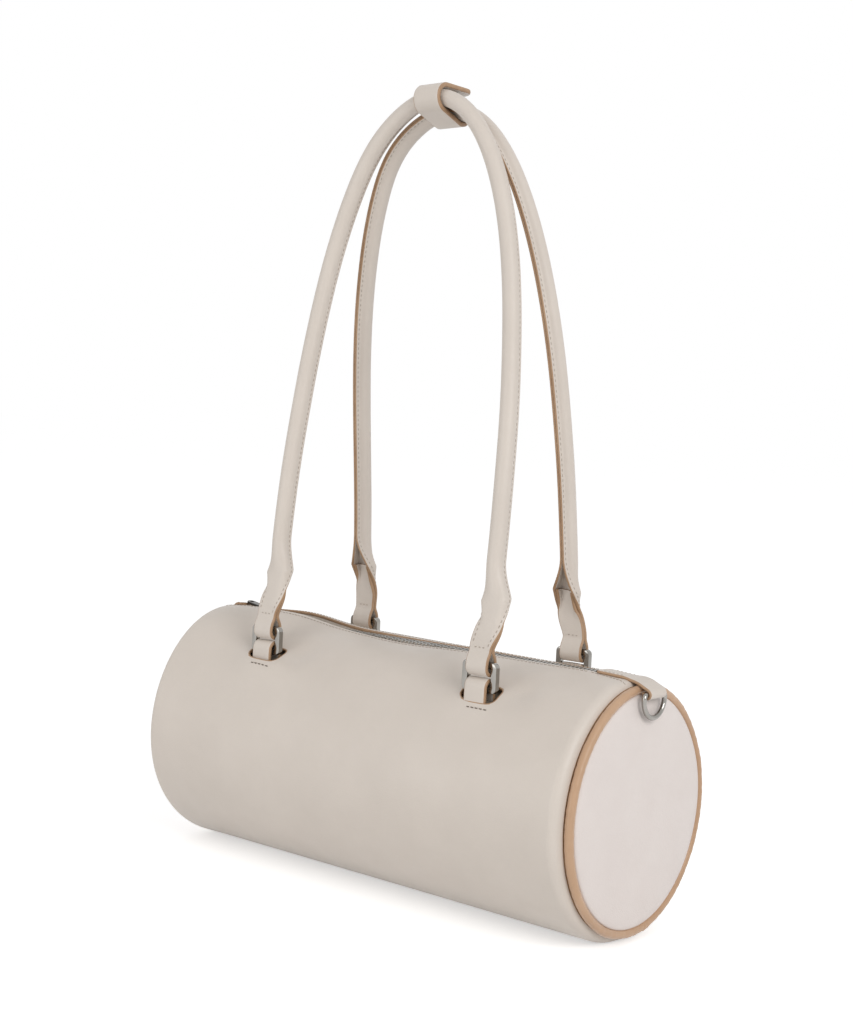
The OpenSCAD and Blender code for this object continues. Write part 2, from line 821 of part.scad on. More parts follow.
shell();
lining();
base_board();
end_panel_left();
end_panel_right();
end_board_left();
end_board_right();
piping_left();
piping_right();
piping_cord_left();
piping_cord_right();
zip_tape_front();
zip_tape_back();
zip_teeth_front();
zip_teeth_back();
zip_stops();
zip_slider();
zip_pull();
end_tab_left();
end_tab_right();
d_ring_left();
d_ring_right();
anchor_tab_front_left();
anchor_tab_front_right();
anchor_tab_back_left();
anchor_tab_back_right();
ring_front_left();
ring_front_right();
ring_back_left();
ring_back_right();
handle_front();
handle_back();
handle_cord_front();
handle_cord_back();
keeper_band();
keeper_flap();
snap_cap();
snap_socket();
snap_stud();
snap_eyelet();
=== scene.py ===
import json
import math
from collections import namedtuple

import bmesh
import bpy
import numpy as np
from mathutils import Matrix, Vector


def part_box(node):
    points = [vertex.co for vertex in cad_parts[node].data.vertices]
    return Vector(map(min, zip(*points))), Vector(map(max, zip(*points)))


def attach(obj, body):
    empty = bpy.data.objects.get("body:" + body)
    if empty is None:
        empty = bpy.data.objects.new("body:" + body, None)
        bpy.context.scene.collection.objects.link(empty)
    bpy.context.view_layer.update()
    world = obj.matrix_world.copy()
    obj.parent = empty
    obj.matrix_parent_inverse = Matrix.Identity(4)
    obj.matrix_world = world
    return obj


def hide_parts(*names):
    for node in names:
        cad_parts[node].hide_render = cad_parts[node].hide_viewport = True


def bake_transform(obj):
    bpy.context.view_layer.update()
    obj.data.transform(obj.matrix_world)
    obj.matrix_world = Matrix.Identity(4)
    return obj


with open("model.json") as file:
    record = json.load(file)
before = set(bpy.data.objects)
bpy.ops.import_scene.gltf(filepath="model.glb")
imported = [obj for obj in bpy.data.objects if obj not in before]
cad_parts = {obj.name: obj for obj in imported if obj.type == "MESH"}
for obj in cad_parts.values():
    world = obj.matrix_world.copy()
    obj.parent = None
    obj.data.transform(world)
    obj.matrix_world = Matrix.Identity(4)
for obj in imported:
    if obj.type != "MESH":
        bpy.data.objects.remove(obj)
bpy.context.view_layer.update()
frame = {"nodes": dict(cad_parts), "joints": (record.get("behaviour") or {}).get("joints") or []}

MM = 0.001
TINY = 1e-9
X, Y, Z = np.eye(3)
SIDES = ((-1, "left"), (1, "right"))


# Places taken from the frame
def node_box(name):
    """Lowest and highest corner of a CAD node, in millimetres."""
    low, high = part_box(name)
    return np.array(low) / MM, np.array(high) / MM


def joint_place(name):
    """The point on a joint's axis that the record gives, in millimetres."""
    found = next(j for j in frame["joints"] if j["name"] == name)
    return np.array(found["pos_m"]) / MM


shell_high = node_box("shell")[1]
HALF_L = shell_high[0]
BODY_R = round(shell_high[1], 1)
AXIS_Z = shell_high[2] - BODY_R
piping_low, piping_high = node_box("piping_right")
PIPING_R = (piping_high[0] - piping_low[0]) / 2
PIPING_X = (piping_high[0] + piping_low[0]) / 2
PIPING_RING_R = piping_high[1] - PIPING_R
FITTING_X = sum(node_box("ring_front_right"))[0] / 2
FITTING_Y = -joint_place("front_rings_swing")[1]
PIVOT_Z = joint_place("front_rings_swing")[2]
PIVOT_TOP_Z = joint_place("handles_swing")[2]
DRING_X, _, DRING_Z = joint_place("right_d_ring_swing")
FOLD_Y, FOLD_Z = joint_place("keeper_flap_open")[1:]
SLIDER_X, _, BAIL_Z = joint_place("zip_pull_swing")
TEETH_LOW, TEETH_HIGH = node_box("zip_teeth_back")

# The handle fittings: -1 is left and front, 1 is right and back
FITTINGS = [(sx, sy) for sy in (-1, 1) for sx in (-1, 1)]

# Body
LEATHER_T = 2.0

# The two ends: where the leather stops, the length and squareness of its shoulder, the radius of its
# edge, and the place of the piping. The left seam lies deep in the full leather, the right one shows
End = namedtuple("End", "stop shoulder square edge_r piping_x ring_r")
LEFT_END = End(HALF_L + 1.0, 9.0, 3.0, BODY_R - 7.0, PIPING_X - 3.1, PIPING_RING_R - 1.6)
RIGHT_END = End(HALF_L - 0.9, 7.0, 2.2, BODY_R - 5.3, PIPING_X - 0.6, PIPING_RING_R - 0.5)
# The radii of the piping's leather and of the cord in it
COVER_R = 2.8
CORD_R = 1.3
# The right rim sinks at this turn, over this spread, and draws in at its sides
RIM_SAG = 2.2
RIM_SAG_TURN = 46
RIM_SAG_SPREAD = 34
RIM_DRAW = 2.2

# The opening over the zip
SLOT_HALF_X = node_box("zip_tape_front")[1][0] + 1
SLOT_HALF_Y = 6.0

# How far the pull's end rises off the leather
PULL_LIFT = 5.2

# Leather tabs and rings
TAB_W = 16.5
TAB_T = 2.5
LOOP_R = 4.45
LOOP_SLACK = 1.5
RING_BAR_W = 4.0
RING_BAR_D = 4.1
RING_INNER_W = 18.0
RING_INNER_H = 11.0

# The windows in the leather that the rings' lower bars sit in, and the width of their painted rims
WINDOW_HALF_X = RING_INNER_W / 2 + RING_BAR_W + 0.6
WINDOW_HALF_Y = LOOP_R + TAB_T / 2 + 0.4
WINDOW_RIM = 0.7
# How square a window's corners are on its outer left, outer right and inner side, and how far from its
# middle the grid gives way to them, in halves of the window
CORNER_OUTER_LEFT, CORNER_OUTER_RIGHT, CORNER_INNER = 2.3, 3.6, 6.0
CORNER_REACH = 2.4

# Handles: the flat tab opens from its start and is a closed roll from OPEN_TO on
STRAP_START = 9.0
STRAP_RISE = 345.0
STRAP_STEP = 3.0
STRAP_TOP_Y = 8.5
STRAP_R = 5.5
STRAP_FIN = 9.3
STRAP_T = 1.55
OPEN_FROM = 7.0
OPEN_TO = 54.0
STRAP_FLARE = 0.13
FLARE_TO = 20.0
TAIL_H = 31.0
ARCH_POWER = 1.5

# Keeper: KEEPER_W is the solid's width, which sets how far the arch drops within it
KEEPER_W = 24.0
BAND_W = 21.6
KEEPER_T = 2.4
KEEPER_PLUMP = 0.6
FLAP_L = 29.5

START_Z = PIVOT_TOP_Z + STRAP_START
APEX_Z = START_Z + STRAP_RISE
KEEPER_DROP = STRAP_RISE * (KEEPER_W / 2) ** 2 / (6 * FITTING_X ** 2)
KEEPER_R = FOLD_Z - APEX_Z - STRAP_STEP + KEEPER_DROP

# Seams: pitch, length and radius of their stitches
FINE_SEAM = (3.0, 2.0, 0.3)
HANDLE_SEAM = (3.4, 2.3, 0.34)
LOOP_SEAM = (3.0, 1.7, 0.4)
WINDOW_SEAM = (3.2, 1.8, 0.42)


# Small mathematics
def unit(v):
    v = np.asarray(v, float)
    return v / np.linalg.norm(v, axis=-1, keepdims=True)


def ease(s):
    s = np.clip(s, 0, 1)
    return s * s * (3 - 2 * s)


def mix(a, b, s):
    return a * (1 - s) + b * s


def hill(u, v, wide, high):
    """A soft hill of height 1 about 0, 0."""
    return np.exp(-(u / wide) ** 2 - (v / high) ** 2)


def steps(low, high, step):
    """Even places from low to high, about a step apart, both ends included."""
    return np.linspace(low, high, max(2, int(math.ceil((high - low) / step)) + 1))


def lines(breaks, step, fine, fine_step):
    """Grid lines through all the breaks, closer together within the fine ranges."""
    slip = 1e-6
    marks = sorted(set(list(breaks) + [v for r in fine for v in r]))
    found = []
    for low, high in zip(marks, marks[1:]):
        near = any(r[0] - slip <= low and high <= r[1] + slip for r in fine)
        found += list(steps(low, high, fine_step if near else step))[:-1]
    return np.array(found + [marks[-1]])


def soft_noise(u, v, cells_u, cells_v, seed):
    """Smooth noise from -1 to 1 that repeats after 1 in both directions."""
    grid = np.random.default_rng(seed).uniform(-1, 1, (cells_u, cells_v))
    pu, pv = (u % 1) * cells_u, (v % 1) * cells_v
    iu, iv = np.floor(pu).astype(int), np.floor(pv).astype(int)
    fu, fv = ease(pu - iu), ease(pv - iv)
    a, b = grid[iu % cells_u, iv % cells_v], grid[(iu + 1) % cells_u, iv % cells_v]
    c, d = grid[iu % cells_u, (iv + 1) % cells_v], grid[(iu + 1) % cells_u, (iv + 1) % cells_v]
    return mix(mix(a, b, fu), mix(c, d, fu), fv)


def lengths(points):
    """How far along a line each of its points lies."""
    return np.concatenate([[0], np.cumsum(np.linalg.norm(np.diff(points, axis=0), axis=1))])


def sample(places, along, points):
    """Points at places on a line, whose own points lie at along."""
    return np.stack([np.interp(places, along, points[:, i]) for i in range(points.shape[1])], axis=-1)


def resample(points, step):
    """The same line with points an even step apart."""
    points = np.asarray(points, float)
    along = lengths(points)
    return sample(steps(0, along[-1], step), along, points)


def soften(points, passes):
    """Rounds the corners of a line and keeps its ends."""
    points = np.array(points, float)
    for _ in range(passes):
        points[1:-1] = points[1:-1] / 2 + (points[:-2] + points[2:]) / 4
    return points


def rounded_line(points, step, passes, spacing):
    """A line with its corners rounded over some steps and its points evenly spaced."""
    return resample(soften(resample(points, step), passes), spacing)


def at_x(x, line):
    """A line given in Y and Z as points at a place along the bag."""
    return np.stack([np.full(len(line), x), line[:, 0], line[:, 1]], axis=1)


def at_y(y, line):
    """A line given in X and Z as points at a place across the bag."""
    return np.stack([line[:, 0], np.full(len(line), y), line[:, 1]], axis=1)


def arc(centre, r, start, end, count):
    """Points on an arc in a plane."""
    a = np.radians(np.linspace(start, end, count))
    return np.stack([centre[0] + r * np.cos(a), centre[1] + r * np.sin(a)], axis=1)


def circle(centre, u, v, r, count):
    """Points on a circle in the plane of u and v."""
    a = np.radians(np.arange(count) * 360 / count)[:, None]
    return centre + (u * np.cos(a) + v * np.sin(a)) * r


# Meshes, each as points and faces, and for some the material of each face
def piece(name, mesh, look, body, stands_for=None, sharp=45):
    """A closed mesh that rides on a body. Its look is its slot, which is not used, and then its materials.
    """
    verts, faces, *kinds = mesh
    slot, *materials = look
    made_mesh = bpy.data.meshes.new(name)
    made_mesh.from_pydata((np.asarray(verts) * MM).tolist(), [], [list(map(int, f)) for f in faces])
    for material in materials:
        made_mesh.materials.append(material)
    if kinds:
        made_mesh.polygons.foreach_set("material_index", np.asarray(kinds[0], np.int32))
    work = bmesh.new()
    work.from_mesh(made_mesh)
    bmesh.ops.recalc_face_normals(work, faces=work.faces)
    work.to_mesh(made_mesh)
    work.free()
    made_mesh.shade_smooth()
    made_mesh.set_sharp_from_angle(angle=math.radians(sharp))
    made = link(bpy.data.objects.new(name, made_mesh))
    if body:
        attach(made, body)
    if stands_for:
        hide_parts(stands_for)
    return made


def link(made):
    bpy.context.scene.collection.objects.link(made)
    return made


def grid_faces(rows, columns, closed=False, looped=False):
    """Faces of a grid of points, row by row. closed joins its side columns, looped its end rows."""
    i, j = np.meshgrid(np.arange(rows if looped else rows - 1),
                       np.arange(columns if closed else columns - 1), indexing="ij")
    near, far = i * columns, (i + 1) % rows * columns
    k = (j + 1) % columns
    return np.stack([near + j, near + k, far + k, far + j], axis=-1)


def tube_faces(count, around, looped=False):
    """Faces between rings of points."""
    return grid_faces(count, around, True, looped).reshape(-1, 4).tolist()


def join(parts):
    """Several meshes as one."""
    verts, faces, base = [], [], 0
    for v, f in parts:
        verts.append(np.asarray(v, float).reshape(-1, 3))
        faces += [[base + i for i in face] for face in f]
        base += len(verts[-1])
    return np.concatenate(verts), faces


def closed_tube(rings):
    """A tube of rings with both ends closed."""
    n, k, _ = rings.shape
    ends = [list(range(k)), [(n - 1) * k + i for i in range(k)]]
    return rings.reshape(-1, 3), tube_faces(n, k) + ends


def looped_tube(rings):
    """A tube of rings whose last ring joins its first."""
    n, k, _ = rings.shape
    return rings.reshape(-1, 3), tube_faces(n, k, True)


def thick_sheet(outer, inner, faces, bulge=0.35, wall_steps=3):
    """Two skins and the rounded walls between their free edges. Materials: 0 outside, 1 walls, 2 inside."""
    n, corners = len(outer), faces.shape[1]
    edges = np.concatenate([faces[:, [i, (i + 1) % corners]] for i in range(corners)])
    owner = np.tile(np.arange(len(faces)), corners)
    _, first, uses = np.unique(np.sort(edges, axis=1), axis=0, return_index=True, return_counts=True)
    free = edges[first[uses == 1]]
    centres = outer[faces].mean(axis=1)
    away = np.zeros_like(outer)
    for (a, b), f in zip(free, owner[first[uses == 1]]):
        out = outer[[a, b]].mean(axis=0) - centres[f]
        out -= unit(outer[b] - outer[a]) * (out @ unit(outer[b] - outer[a]))
        away[a] += unit(out)
        away[b] += unit(out)
    rim = np.unique(free)
    verts, rows = [outer, inner], [rim]
    for k in range(wall_steps):
        s = (k + 1) / (wall_steps + 1)
        verts.append(mix(outer[rim], inner[rim], s) + unit(away[rim]) * bulge * math.sin(math.pi * s))
        rows.append(2 * n + k * len(rim) + np.arange(len(rim)))
    rows.append(rim + n)
    walls = [[low[b], low[a], high[a], high[b]]
             for a, b in np.searchsorted(rim, free) for low, high in zip(rows, rows[1:])]
    kinds = [0] * len(faces) + [2] * len(faces) + [1] * len(walls)
    return np.concatenate(verts), faces.tolist() + (faces[:, ::-1] + n).tolist() + walls, kinds


# The turns of the points on a strip's rounded edge, and how far it bulges, in halves of the thickness
EDGE_TURNS = (50, 0, -50)
EDGE_BULGE = 0.62
CAP = len(EDGE_TURNS)


def strip_ring(mid, normal, left, right, t):
    """Ring round one cross-section of a strip: face, rounded edge, back and rounded edge."""
    turns = np.radians(EDGE_TURNS)[:, None]
    half = t / 2

    def cap(at, out, up):
        return at + out * (half * EDGE_BULGE * np.cos(turns)) + up * (half * np.sin(turns))

    return np.concatenate([
        mid + normal * half,
        cap(mid[-1], right, normal[-1]),
        (mid - normal * half)[::-1],
        cap(mid[0], left, -normal[0]),
    ])


def strip_mesh(rings, across):
    """A strip from its rings, with flat ends. Materials: 0 face, 1 painted edge."""
    n, k, _ = rings.shape
    faces = tube_faces(n, k)
    place = np.tile(np.arange(k), n - 1)
    right = (place >= across - 1) & (place <= across + CAP - 1)
    left = place >= 2 * across + CAP - 1
    kinds = list((right | left).astype(int))
    for base in (0, (n - 1) * k):
        for i in range(across - 1):
            j = 2 * across + CAP - 1 - i
            faces.append([base + i, base + i + 1, base + j - 1, base + j])
        faces.append([base + i for i in range(across - 1, across + CAP + 1)])
        faces.append([base + i % k for i in range(2 * across + CAP - 1, k + 1)])
        kinds += [1] * (across + 1)
    return rings.reshape(-1, 3), faces, kinds


def flat_strip(line, side, width, t, across, lift=None):
    """A strip whose middle follows a line square to side. lift(i, places across) moves ring i's points."""
    along = unit(np.gradient(line, axis=0))
    normal = unit(np.cross(side, along))
    width = np.broadcast_to(width, len(line))
    shares = np.linspace(-1, 1, across)
    rings = []
    for i, c in enumerate(line):
        reach = width[i] / 2 - t * EDGE_BULGE / 2
        mid = c + side * (shares * reach)[:, None]
        if lift is not None:
            mid = mid + lift(i, shares * reach)
        rings.append(strip_ring(mid, np.tile(normal[i], (across, 1)), -side, side, t))
    return strip_mesh(np.array(rings), across)


# A stitch from end to end: share of its length, height in radii over the leather, share of its thickness
STITCH_SHAPE = ((-0.5, -1.1, 0.5), (-0.38, -0.1, 0.9), (0.0, 0.35, 1.0), (0.38, -0.1, 0.9),
                (0.5, -1.1, 0.5))
STITCH_SINK = 0.1
STITCH_SIDES = 6


def stitches(points, normals, seam):
    """Short threads laid along a line on a surface, as meshes to join."""
    pitch, length, r = seam
    look_ahead = 0.2
    points, normals = np.asarray(points, float), np.asarray(normals, float)
    along = lengths(points)
    count = max(1, int(along[-1] // pitch))
    start = (along[-1] - (count - 1) * pitch) / 2
    shares, rises, fats = np.array(STITCH_SHAPE).T
    parts = []
    for i in range(count):
        at = start + i * pitch + shares * length
        n = unit(sample(at, along, normals))
        ahead, behind = (sample(at + d, along, points) for d in (look_ahead, -look_ahead))
        side = unit(np.cross(n, unit(ahead - behind)))
        c = sample(at, along, points) + n * (r * rises - STITCH_SINK)[:, None]
        rings = [circle(*ring, STITCH_SIDES) for ring in zip(c, side, n, r * fats)]
        parts.append(closed_tube(np.array(rings)))
    return parts


def revolve(profile, centre):
    """A solid of revolution about Z. The profile runs from the axis over the outside and back to it."""
    count = 48
    rings = np.array([circle(centre + Z * z, X, Y, r, count) for r, z in profile[1:-1]])
    n = len(rings) * count
    last = n - count
    poles = [centre + Z * profile[0][1], centre + Z * profile[-1][1]]
    verts = np.concatenate([rings.reshape(-1, 3), poles])
    faces = tube_faces(len(rings), count)
    faces += [[n, i, (i + 1) % count] for i in range(count)]
    faces += [[n + 1, last + i, last + (i + 1) % count] for i in range(count)]
    return verts, faces


def plate(outline, low, high, bevel, hole=None):
    """A flat plate in X and Y with bevelled rims, and one hole whose outline has as many points."""
    def inset(points, amount):
        ahead, behind = np.roll(points, -1, axis=0), np.roll(points, 1, axis=0)
        along = unit(ahead - behind)
        area = np.sum(points[:, 0] * ahead[:, 1] - ahead[:, 0] * points[:, 1])
        inward = np.stack([-along[:, 1], along[:, 0]], axis=1) * np.sign(area)
        return points + inward * amount

    outline = np.asarray(outline, float)
    levels = [(bevel, low), (0, low + bevel), (0, high - bevel), (bevel, high)]
    rings = [np.column_stack([inset(outline, b), np.full(len(outline), z)]) for b, z in levels]
    if hole is None:
        return closed_tube(np.array(rings))
    rings += [np.column_stack([inset(hole, -b), np.full(len(hole), z)]) for b, z in levels[::-1]]
    return looped_tube(np.array(rings))


def rounded_rectangle(w, h, r, corner):
    """Outline points of a rounded rectangle about the origin."""
    corners = ((1, 1, 0), (-1, 1, 90), (-1, -1, 180), (1, -1, 270))
    return np.concatenate([arc((cx * (w / 2 - r), cy * (h / 2 - r)), r, start, start + 90, corner)
                           for cx, cy, start in corners])


def round_sheet(front, back, ring_count, around):
    """A closed round sheet from two skins, each of rings from the rim inwards and then a middle point."""
    n = len(front)
    last = (ring_count - 1) * around
    skin = tube_faces(ring_count, around)
    skin += [[n - 1, last + i, last + (i + 1) % around] for i in range(around)]
    wall = [[i, (i + 1) % around, n + (i + 1) % around, n + i] for i in range(around)]
    return np.concatenate([front, back]), skin + [[v + n for v in f[::-1]] for f in skin] + wall


# Materials
def feed(tree, socket, value):
    """Links a node's output to a socket, or sets the socket's own value."""
    if isinstance(value, bpy.types.NodeSocket):
        tree.links.new(value, socket)
    else:
        socket.default_value = value


def add_node(tree, kind, inputs=None, **settings):
    """A new node with its inputs by name or number."""
    node = tree.nodes.new(kind)
    for key, value in settings.items():
        setattr(node, key, value)
    for key, value in (inputs or {}).items():
        feed(tree, node.inputs[key], value)
    return node


class Shader:
    """A material under construction, with its nodes added by short calls."""

    def __init__(self, name):
        self.material = bpy.data.materials.new(name)
        self.material.use_nodes = True
        self.tree = self.material.node_tree
        self.surface = self.tree.nodes["Principled BSDF"]
        self.place = self.add("ShaderNodeTexCoord").outputs["Object"]

    def add(self, kind, inputs=None, **settings):
        return add_node(self.tree, kind, inputs, **settings)

    def set(self, **values):
        for key, value in values.items():
            feed(self.tree, self.surface.inputs[key.replace("_", " ")], value)

    def noise(self, scale, detail, rough=0.5):
        inputs = {"Vector": self.place, "Scale": scale, "Detail": detail, "Roughness": rough}
        return self.add("ShaderNodeTexNoise", inputs).outputs["Fac"]

    def cells(self, scale):
        return self.add("ShaderNodeTexVoronoi", {"Vector": self.place, "Scale": scale}).outputs["Distance"]

    def bands(self, scale, direction, place=None):
        inputs = {"Vector": place or self.place, "Scale": scale}
        return self.add("ShaderNodeTexWave", inputs, bands_direction=direction).outputs["Fac"]

    def spread(self, value, low, high, from_low=0.0, from_high=1.0):
        inputs = {"Value": value, "From Min": from_low, "From Max": from_high,
                  "To Min": low, "To Max": high}
        return self.add("ShaderNodeMapRange", inputs).outputs["Result"]

    def patches(self, scale, detail, low=0.35, high=0.65, rough=0.5):
        """Noise from 0 to 1 with soft, clear patches."""
        return self.spread(self.noise(scale, detail, rough), 0, 1, low, high)

    def blend(self, share, a, b):
        return self.add("ShaderNodeMix", {0: share, 6: a, 7: b}, data_type="RGBA").outputs[2]

    def add_up(self, a, b, share):
        return self.add("ShaderNodeMath", {0: b, 1: share, 2: a}, operation="MULTIPLY_ADD").outputs[0]

    def bump(self, height, distance, strength):
        inputs = {"Height": height, "Distance": distance, "Strength": strength}
        self.set(Normal=self.add("ShaderNodeBump", inputs).outputs["Normal"])
        return self.material


def colour(rgb, level=1.0):
    """A colour given as a screen shows it, from 0 to 255, as linear light."""
    def linear(c):
        c = c * level / 255
        return c / 12.92 if c <= 0.04045 else ((c + 0.055) / 1.055) ** 2.4
    return (*map(linear, rgb), 1.0)


def leather(name, light, dark, rough, grain=1.0):
    """Smooth coated leather: a fine pebble, faint mottling and a soft satin sheen."""
    s = Shader(name)
    mottle = s.patches(scale=22, detail=4, low=0.3, high=0.7, rough=0.6)
    pores = s.patches(scale=1500, detail=2)
    tone = s.blend(mottle, colour(dark), colour(light))
    tone = s.blend(s.spread(pores, 0.0, 0.05), tone, colour(dark, level=0.86))
    pebble = s.add_up(s.cells(scale=1150), s.noise(scale=700, detail=3), 0.7)
    gloss = s.spread(s.noise(scale=60, detail=3), rough - 0.05, rough + 0.06, 0.3, 0.7)
    s.set(Base_Color=tone, Roughness=gloss)
    s.set(Sheen_Weight=0.12, Sheen_Roughness=0.5, Specular_IOR_Level=0.42)
    return s.bump(pebble, distance=0.00012 * grain, strength=0.55)


def edge_paint(name, light, dark):
    """Painted cut edge of leather: satin paint that follows the layers of the cut."""
    s = Shader(name)
    streak = s.patches(scale=420, detail=3, low=0.3, high=0.7)
    patch = s.patches(scale=45, detail=3)
    tone = s.blend(patch, colour(dark), colour(light))
    tone = s.blend(s.spread(streak, 0.0, 0.22), tone, colour(dark, level=0.78))
    s.set(Base_Color=tone, Roughness=s.spread(patch, 0.36, 0.5), Specular_IOR_Level=0.5)
    return s.bump(s.add_up(streak, s.noise(scale=1300, detail=2), 0.5), distance=0.00012, strength=0.6)


def metal(name, tone, rough):
    """Polished plating with a faint haze and hairlines."""
    s = Shader(name)
    wear = 0.04
    haze = s.spread(s.noise(scale=160, detail=3), rough - wear, rough + wear, 0.3, 0.7)
    shade = s.blend(s.patches(scale=90, detail=2), colour(tone), colour(tone, level=0.93))
    s.set(Base_Color=shade, Metallic=1.0, Roughness=haze)
    return s.bump(s.noise(scale=2400, detail=2), distance=0.00001, strength=0.25)


def cloth(name, light, dark, pitch, diagonal=False):
    """Woven cloth: two sets of threads crossing, with the thread pitch in millimetres."""
    s = Shader(name)
    rotation = (0, 0, math.radians(45 if diagonal else 0))
    turned = s.add("ShaderNodeMapping", {"Vector": s.place, "Rotation": rotation}).outputs[0]
    scale = 1 / (pitch * MM) / 2
    warp, weft = (s.bands(scale, direction, turned) for direction in "XY")
    weave = s.add("ShaderNodeMath", {0: warp, 1: weft}, operation="MULTIPLY").outputs[0]
    tone = s.blend(weave, colour(dark), colour(light))
    tone = s.blend(s.spread(s.noise(scale=300, detail=2), 0, 0.25), tone, colour(dark))
    s.set(Base_Color=tone, Roughness=0.8, Sheen_Weight=0.3)
    return s.bump(weave, distance=0.00015, strength=0.7)


def thread(name, light, dark):
    """Waxed thread, twisted."""
    s = Shader(name)
    twist = s.bands(1800, "DIAGONAL")
    s.set(Base_Color=s.blend(twist, colour(dark), colour(light)), Roughness=s.spread(twist, 0.5, 0.62))
    return s.bump(twist, distance=0.00006, strength=0.6)


def board(name, light, dark):
    """Pressed fibre board, speckled."""
    s = Shader(name)
    fleck = s.patches(scale=700, detail=4, rough=0.7)
    s.set(Base_Color=s.blend(fleck, colour(dark), colour(light)), Roughness=0.85)
    return s.bump(fleck, distance=0.0001, strength=0.5)


CREAM = leather("cream_leather", (213, 203, 193), (208, 198, 188), 0.46)
# The end panels' leather is coloured paler than the body's: partly the panels' own pinker tone, partly
# painted light standing for the stronger light on the ends
END_LEATHER_WITH_PAINTED_LIGHT = leather("end_leather", (225, 216, 211), (221, 211, 206), 0.48)
CREAM_BACK = leather("leather_inside", (196, 184, 170), (184, 171, 156), 0.6)
TAN_EDGE = edge_paint("edge_paint", (178, 145, 114), (164, 130, 99))
TAN = leather("piping_leather", (196, 161, 130), (180, 144, 113), 0.36, 0.7)
NICKEL = metal("nickel", (158, 155, 150), 0.13)
DARK_NICKEL = metal("dark_nickel", (72, 70, 67), 0.2)
ZIP_METAL = metal("zip_metal", (168, 166, 162), 0.26)
ZIP_CLOTH = cloth("zip_cloth", (212, 202, 190), (176, 164, 150), 0.55)
LINING = cloth("lining_twill", (176, 163, 146), (142, 129, 113), 0.6, diagonal=True)
# The cream thread is coloured greyer and darker than the leather: partly its own tone, partly painted shade
# standing for the shadow in its stitch holes
THREAD = thread("cream_thread", (186, 174, 162), (158, 146, 133))
# Painted shade: the window seams' thread is coloured dark brown to stand for the shadow in their stitch
# holes
SHADE_PAINTED_THREAD = thread("thread_with_painted_shade", (118, 104, 92), (84, 72, 62))
BOARD = board("fibre_board", (124, 114, 102), (92, 84, 74))
CORD = cloth("core_cord", (232, 230, 224), (206, 203, 196), 0.9)

# Looks: a slot of the record and the materials
STRIP_LOOK = ("cream_leather", CREAM, TAN_EDGE)
BODY_LOOK = STRIP_LOOK + (CREAM_BACK,)
STITCH_LOOK = ("cream_leather", THREAD)
WINDOW_STITCH_LOOK = ("cream_leather", SHADE_PAINTED_THREAD)
END_LOOK = ("end_leather", END_LEATHER_WITH_PAINTED_LIGHT)
PIPING_LOOK = ("tan_leather", TAN)
CORD_LOOK = ("core_cord", CORD)
LINING_LOOK = ("lining_cloth", LINING)
TAPE_LOOK = ("zip_cloth", ZIP_CLOTH)
ZIP_LOOK = ("zip_metal", ZIP_METAL)
DARK_LOOK = ("dark_nickel", DARK_NICKEL)
RING_LOOK = ("nickel", NICKEL)

for node_name in ("base_board", "end_board_left", "end_board_right"):
    frame["nodes"][node_name].data.materials.clear()
    frame["nodes"][node_name].data.materials.append(BOARD)


# Body leather. A place on it is x along the bag and a turn from the top, positive to the back
def turn_of(y):
    return math.degrees(math.asin(y / BODY_R))


# Where the soft body stands full or sags: x, turn, spread of each, and how far out
SLACK = [
    (-165, -38, 42, 30, 5.0),
    (-156, -16, 38, 22, 5.2),
    (-150, 0, 34, 14, 0.7),
    (-106, 8, 36, 12, 4.6),
    (-104, -5, 32, 9, 3.6),
    (-28, 9, 34, 9, 0.6),
    (-8, -6, 40, 9, -2.5),
    (-92, -46, 22, 9, 3.4),
    (115, 24, 60, 22, -2.4),
    (60, -30, 70, 28, -1.4),
    (172, 4, 22, 16, -2.4),
    (172, 50, 26, 32, -RIM_SAG),
]
# Round each fitting the slack fades, the leather swells on the outer side and dents on the right of it.
# Each form has its place from the ring along the bag and away from the zip, its spread of each, and the
# last two how far out
FITTING_CALM = (0, -8, 19, 11)
FITTING_FORMS = (((0, 4, 24, 13), 1.5), ((25, -7, 12, 13), -3.2))
# Slow waves: depth, length after which they repeat, and cells along and round. They fade towards the ends
# over a length, and towards the zip and the base from a turn on over another
WAVE_DEPTH, WAVE_REPEAT, WAVE_CELLS, WAVE_SEED = 0.5, 700, (6, 7), 11
WAVE_END_FADE, WAVE_ZIP_FADE, WAVE_BASE_FADE = 30, (3, 14), (168, 20)
# How gently the round body passes into its flat base
BASE_SOFT = 1.2
BASE_REACH = 4 * BASE_SOFT
BASE_DRAW = 0.69
SAFE_POWER = 30


def by_end(x, name):
    """A value of the end that a place along the bag is nearer to."""
    return np.where(np.asarray(x) < 0, getattr(LEFT_END, name), getattr(RIGHT_END, name))


def rim_sag(x, turn):
    """How far the right rim sinks at the upper back and draws in at its sides."""
    wrapped = (np.asarray(turn) + 180) % 360 - 180
    sunk = RIM_SAG * np.exp(-((wrapped - RIM_SAG_TURN) / RIM_SAG_SPREAD) ** 2)
    sunk = sunk + RIM_DRAW * np.sin(np.radians(turn)) ** 2
    return np.where(np.asarray(x) > 0, sunk, 0.0)


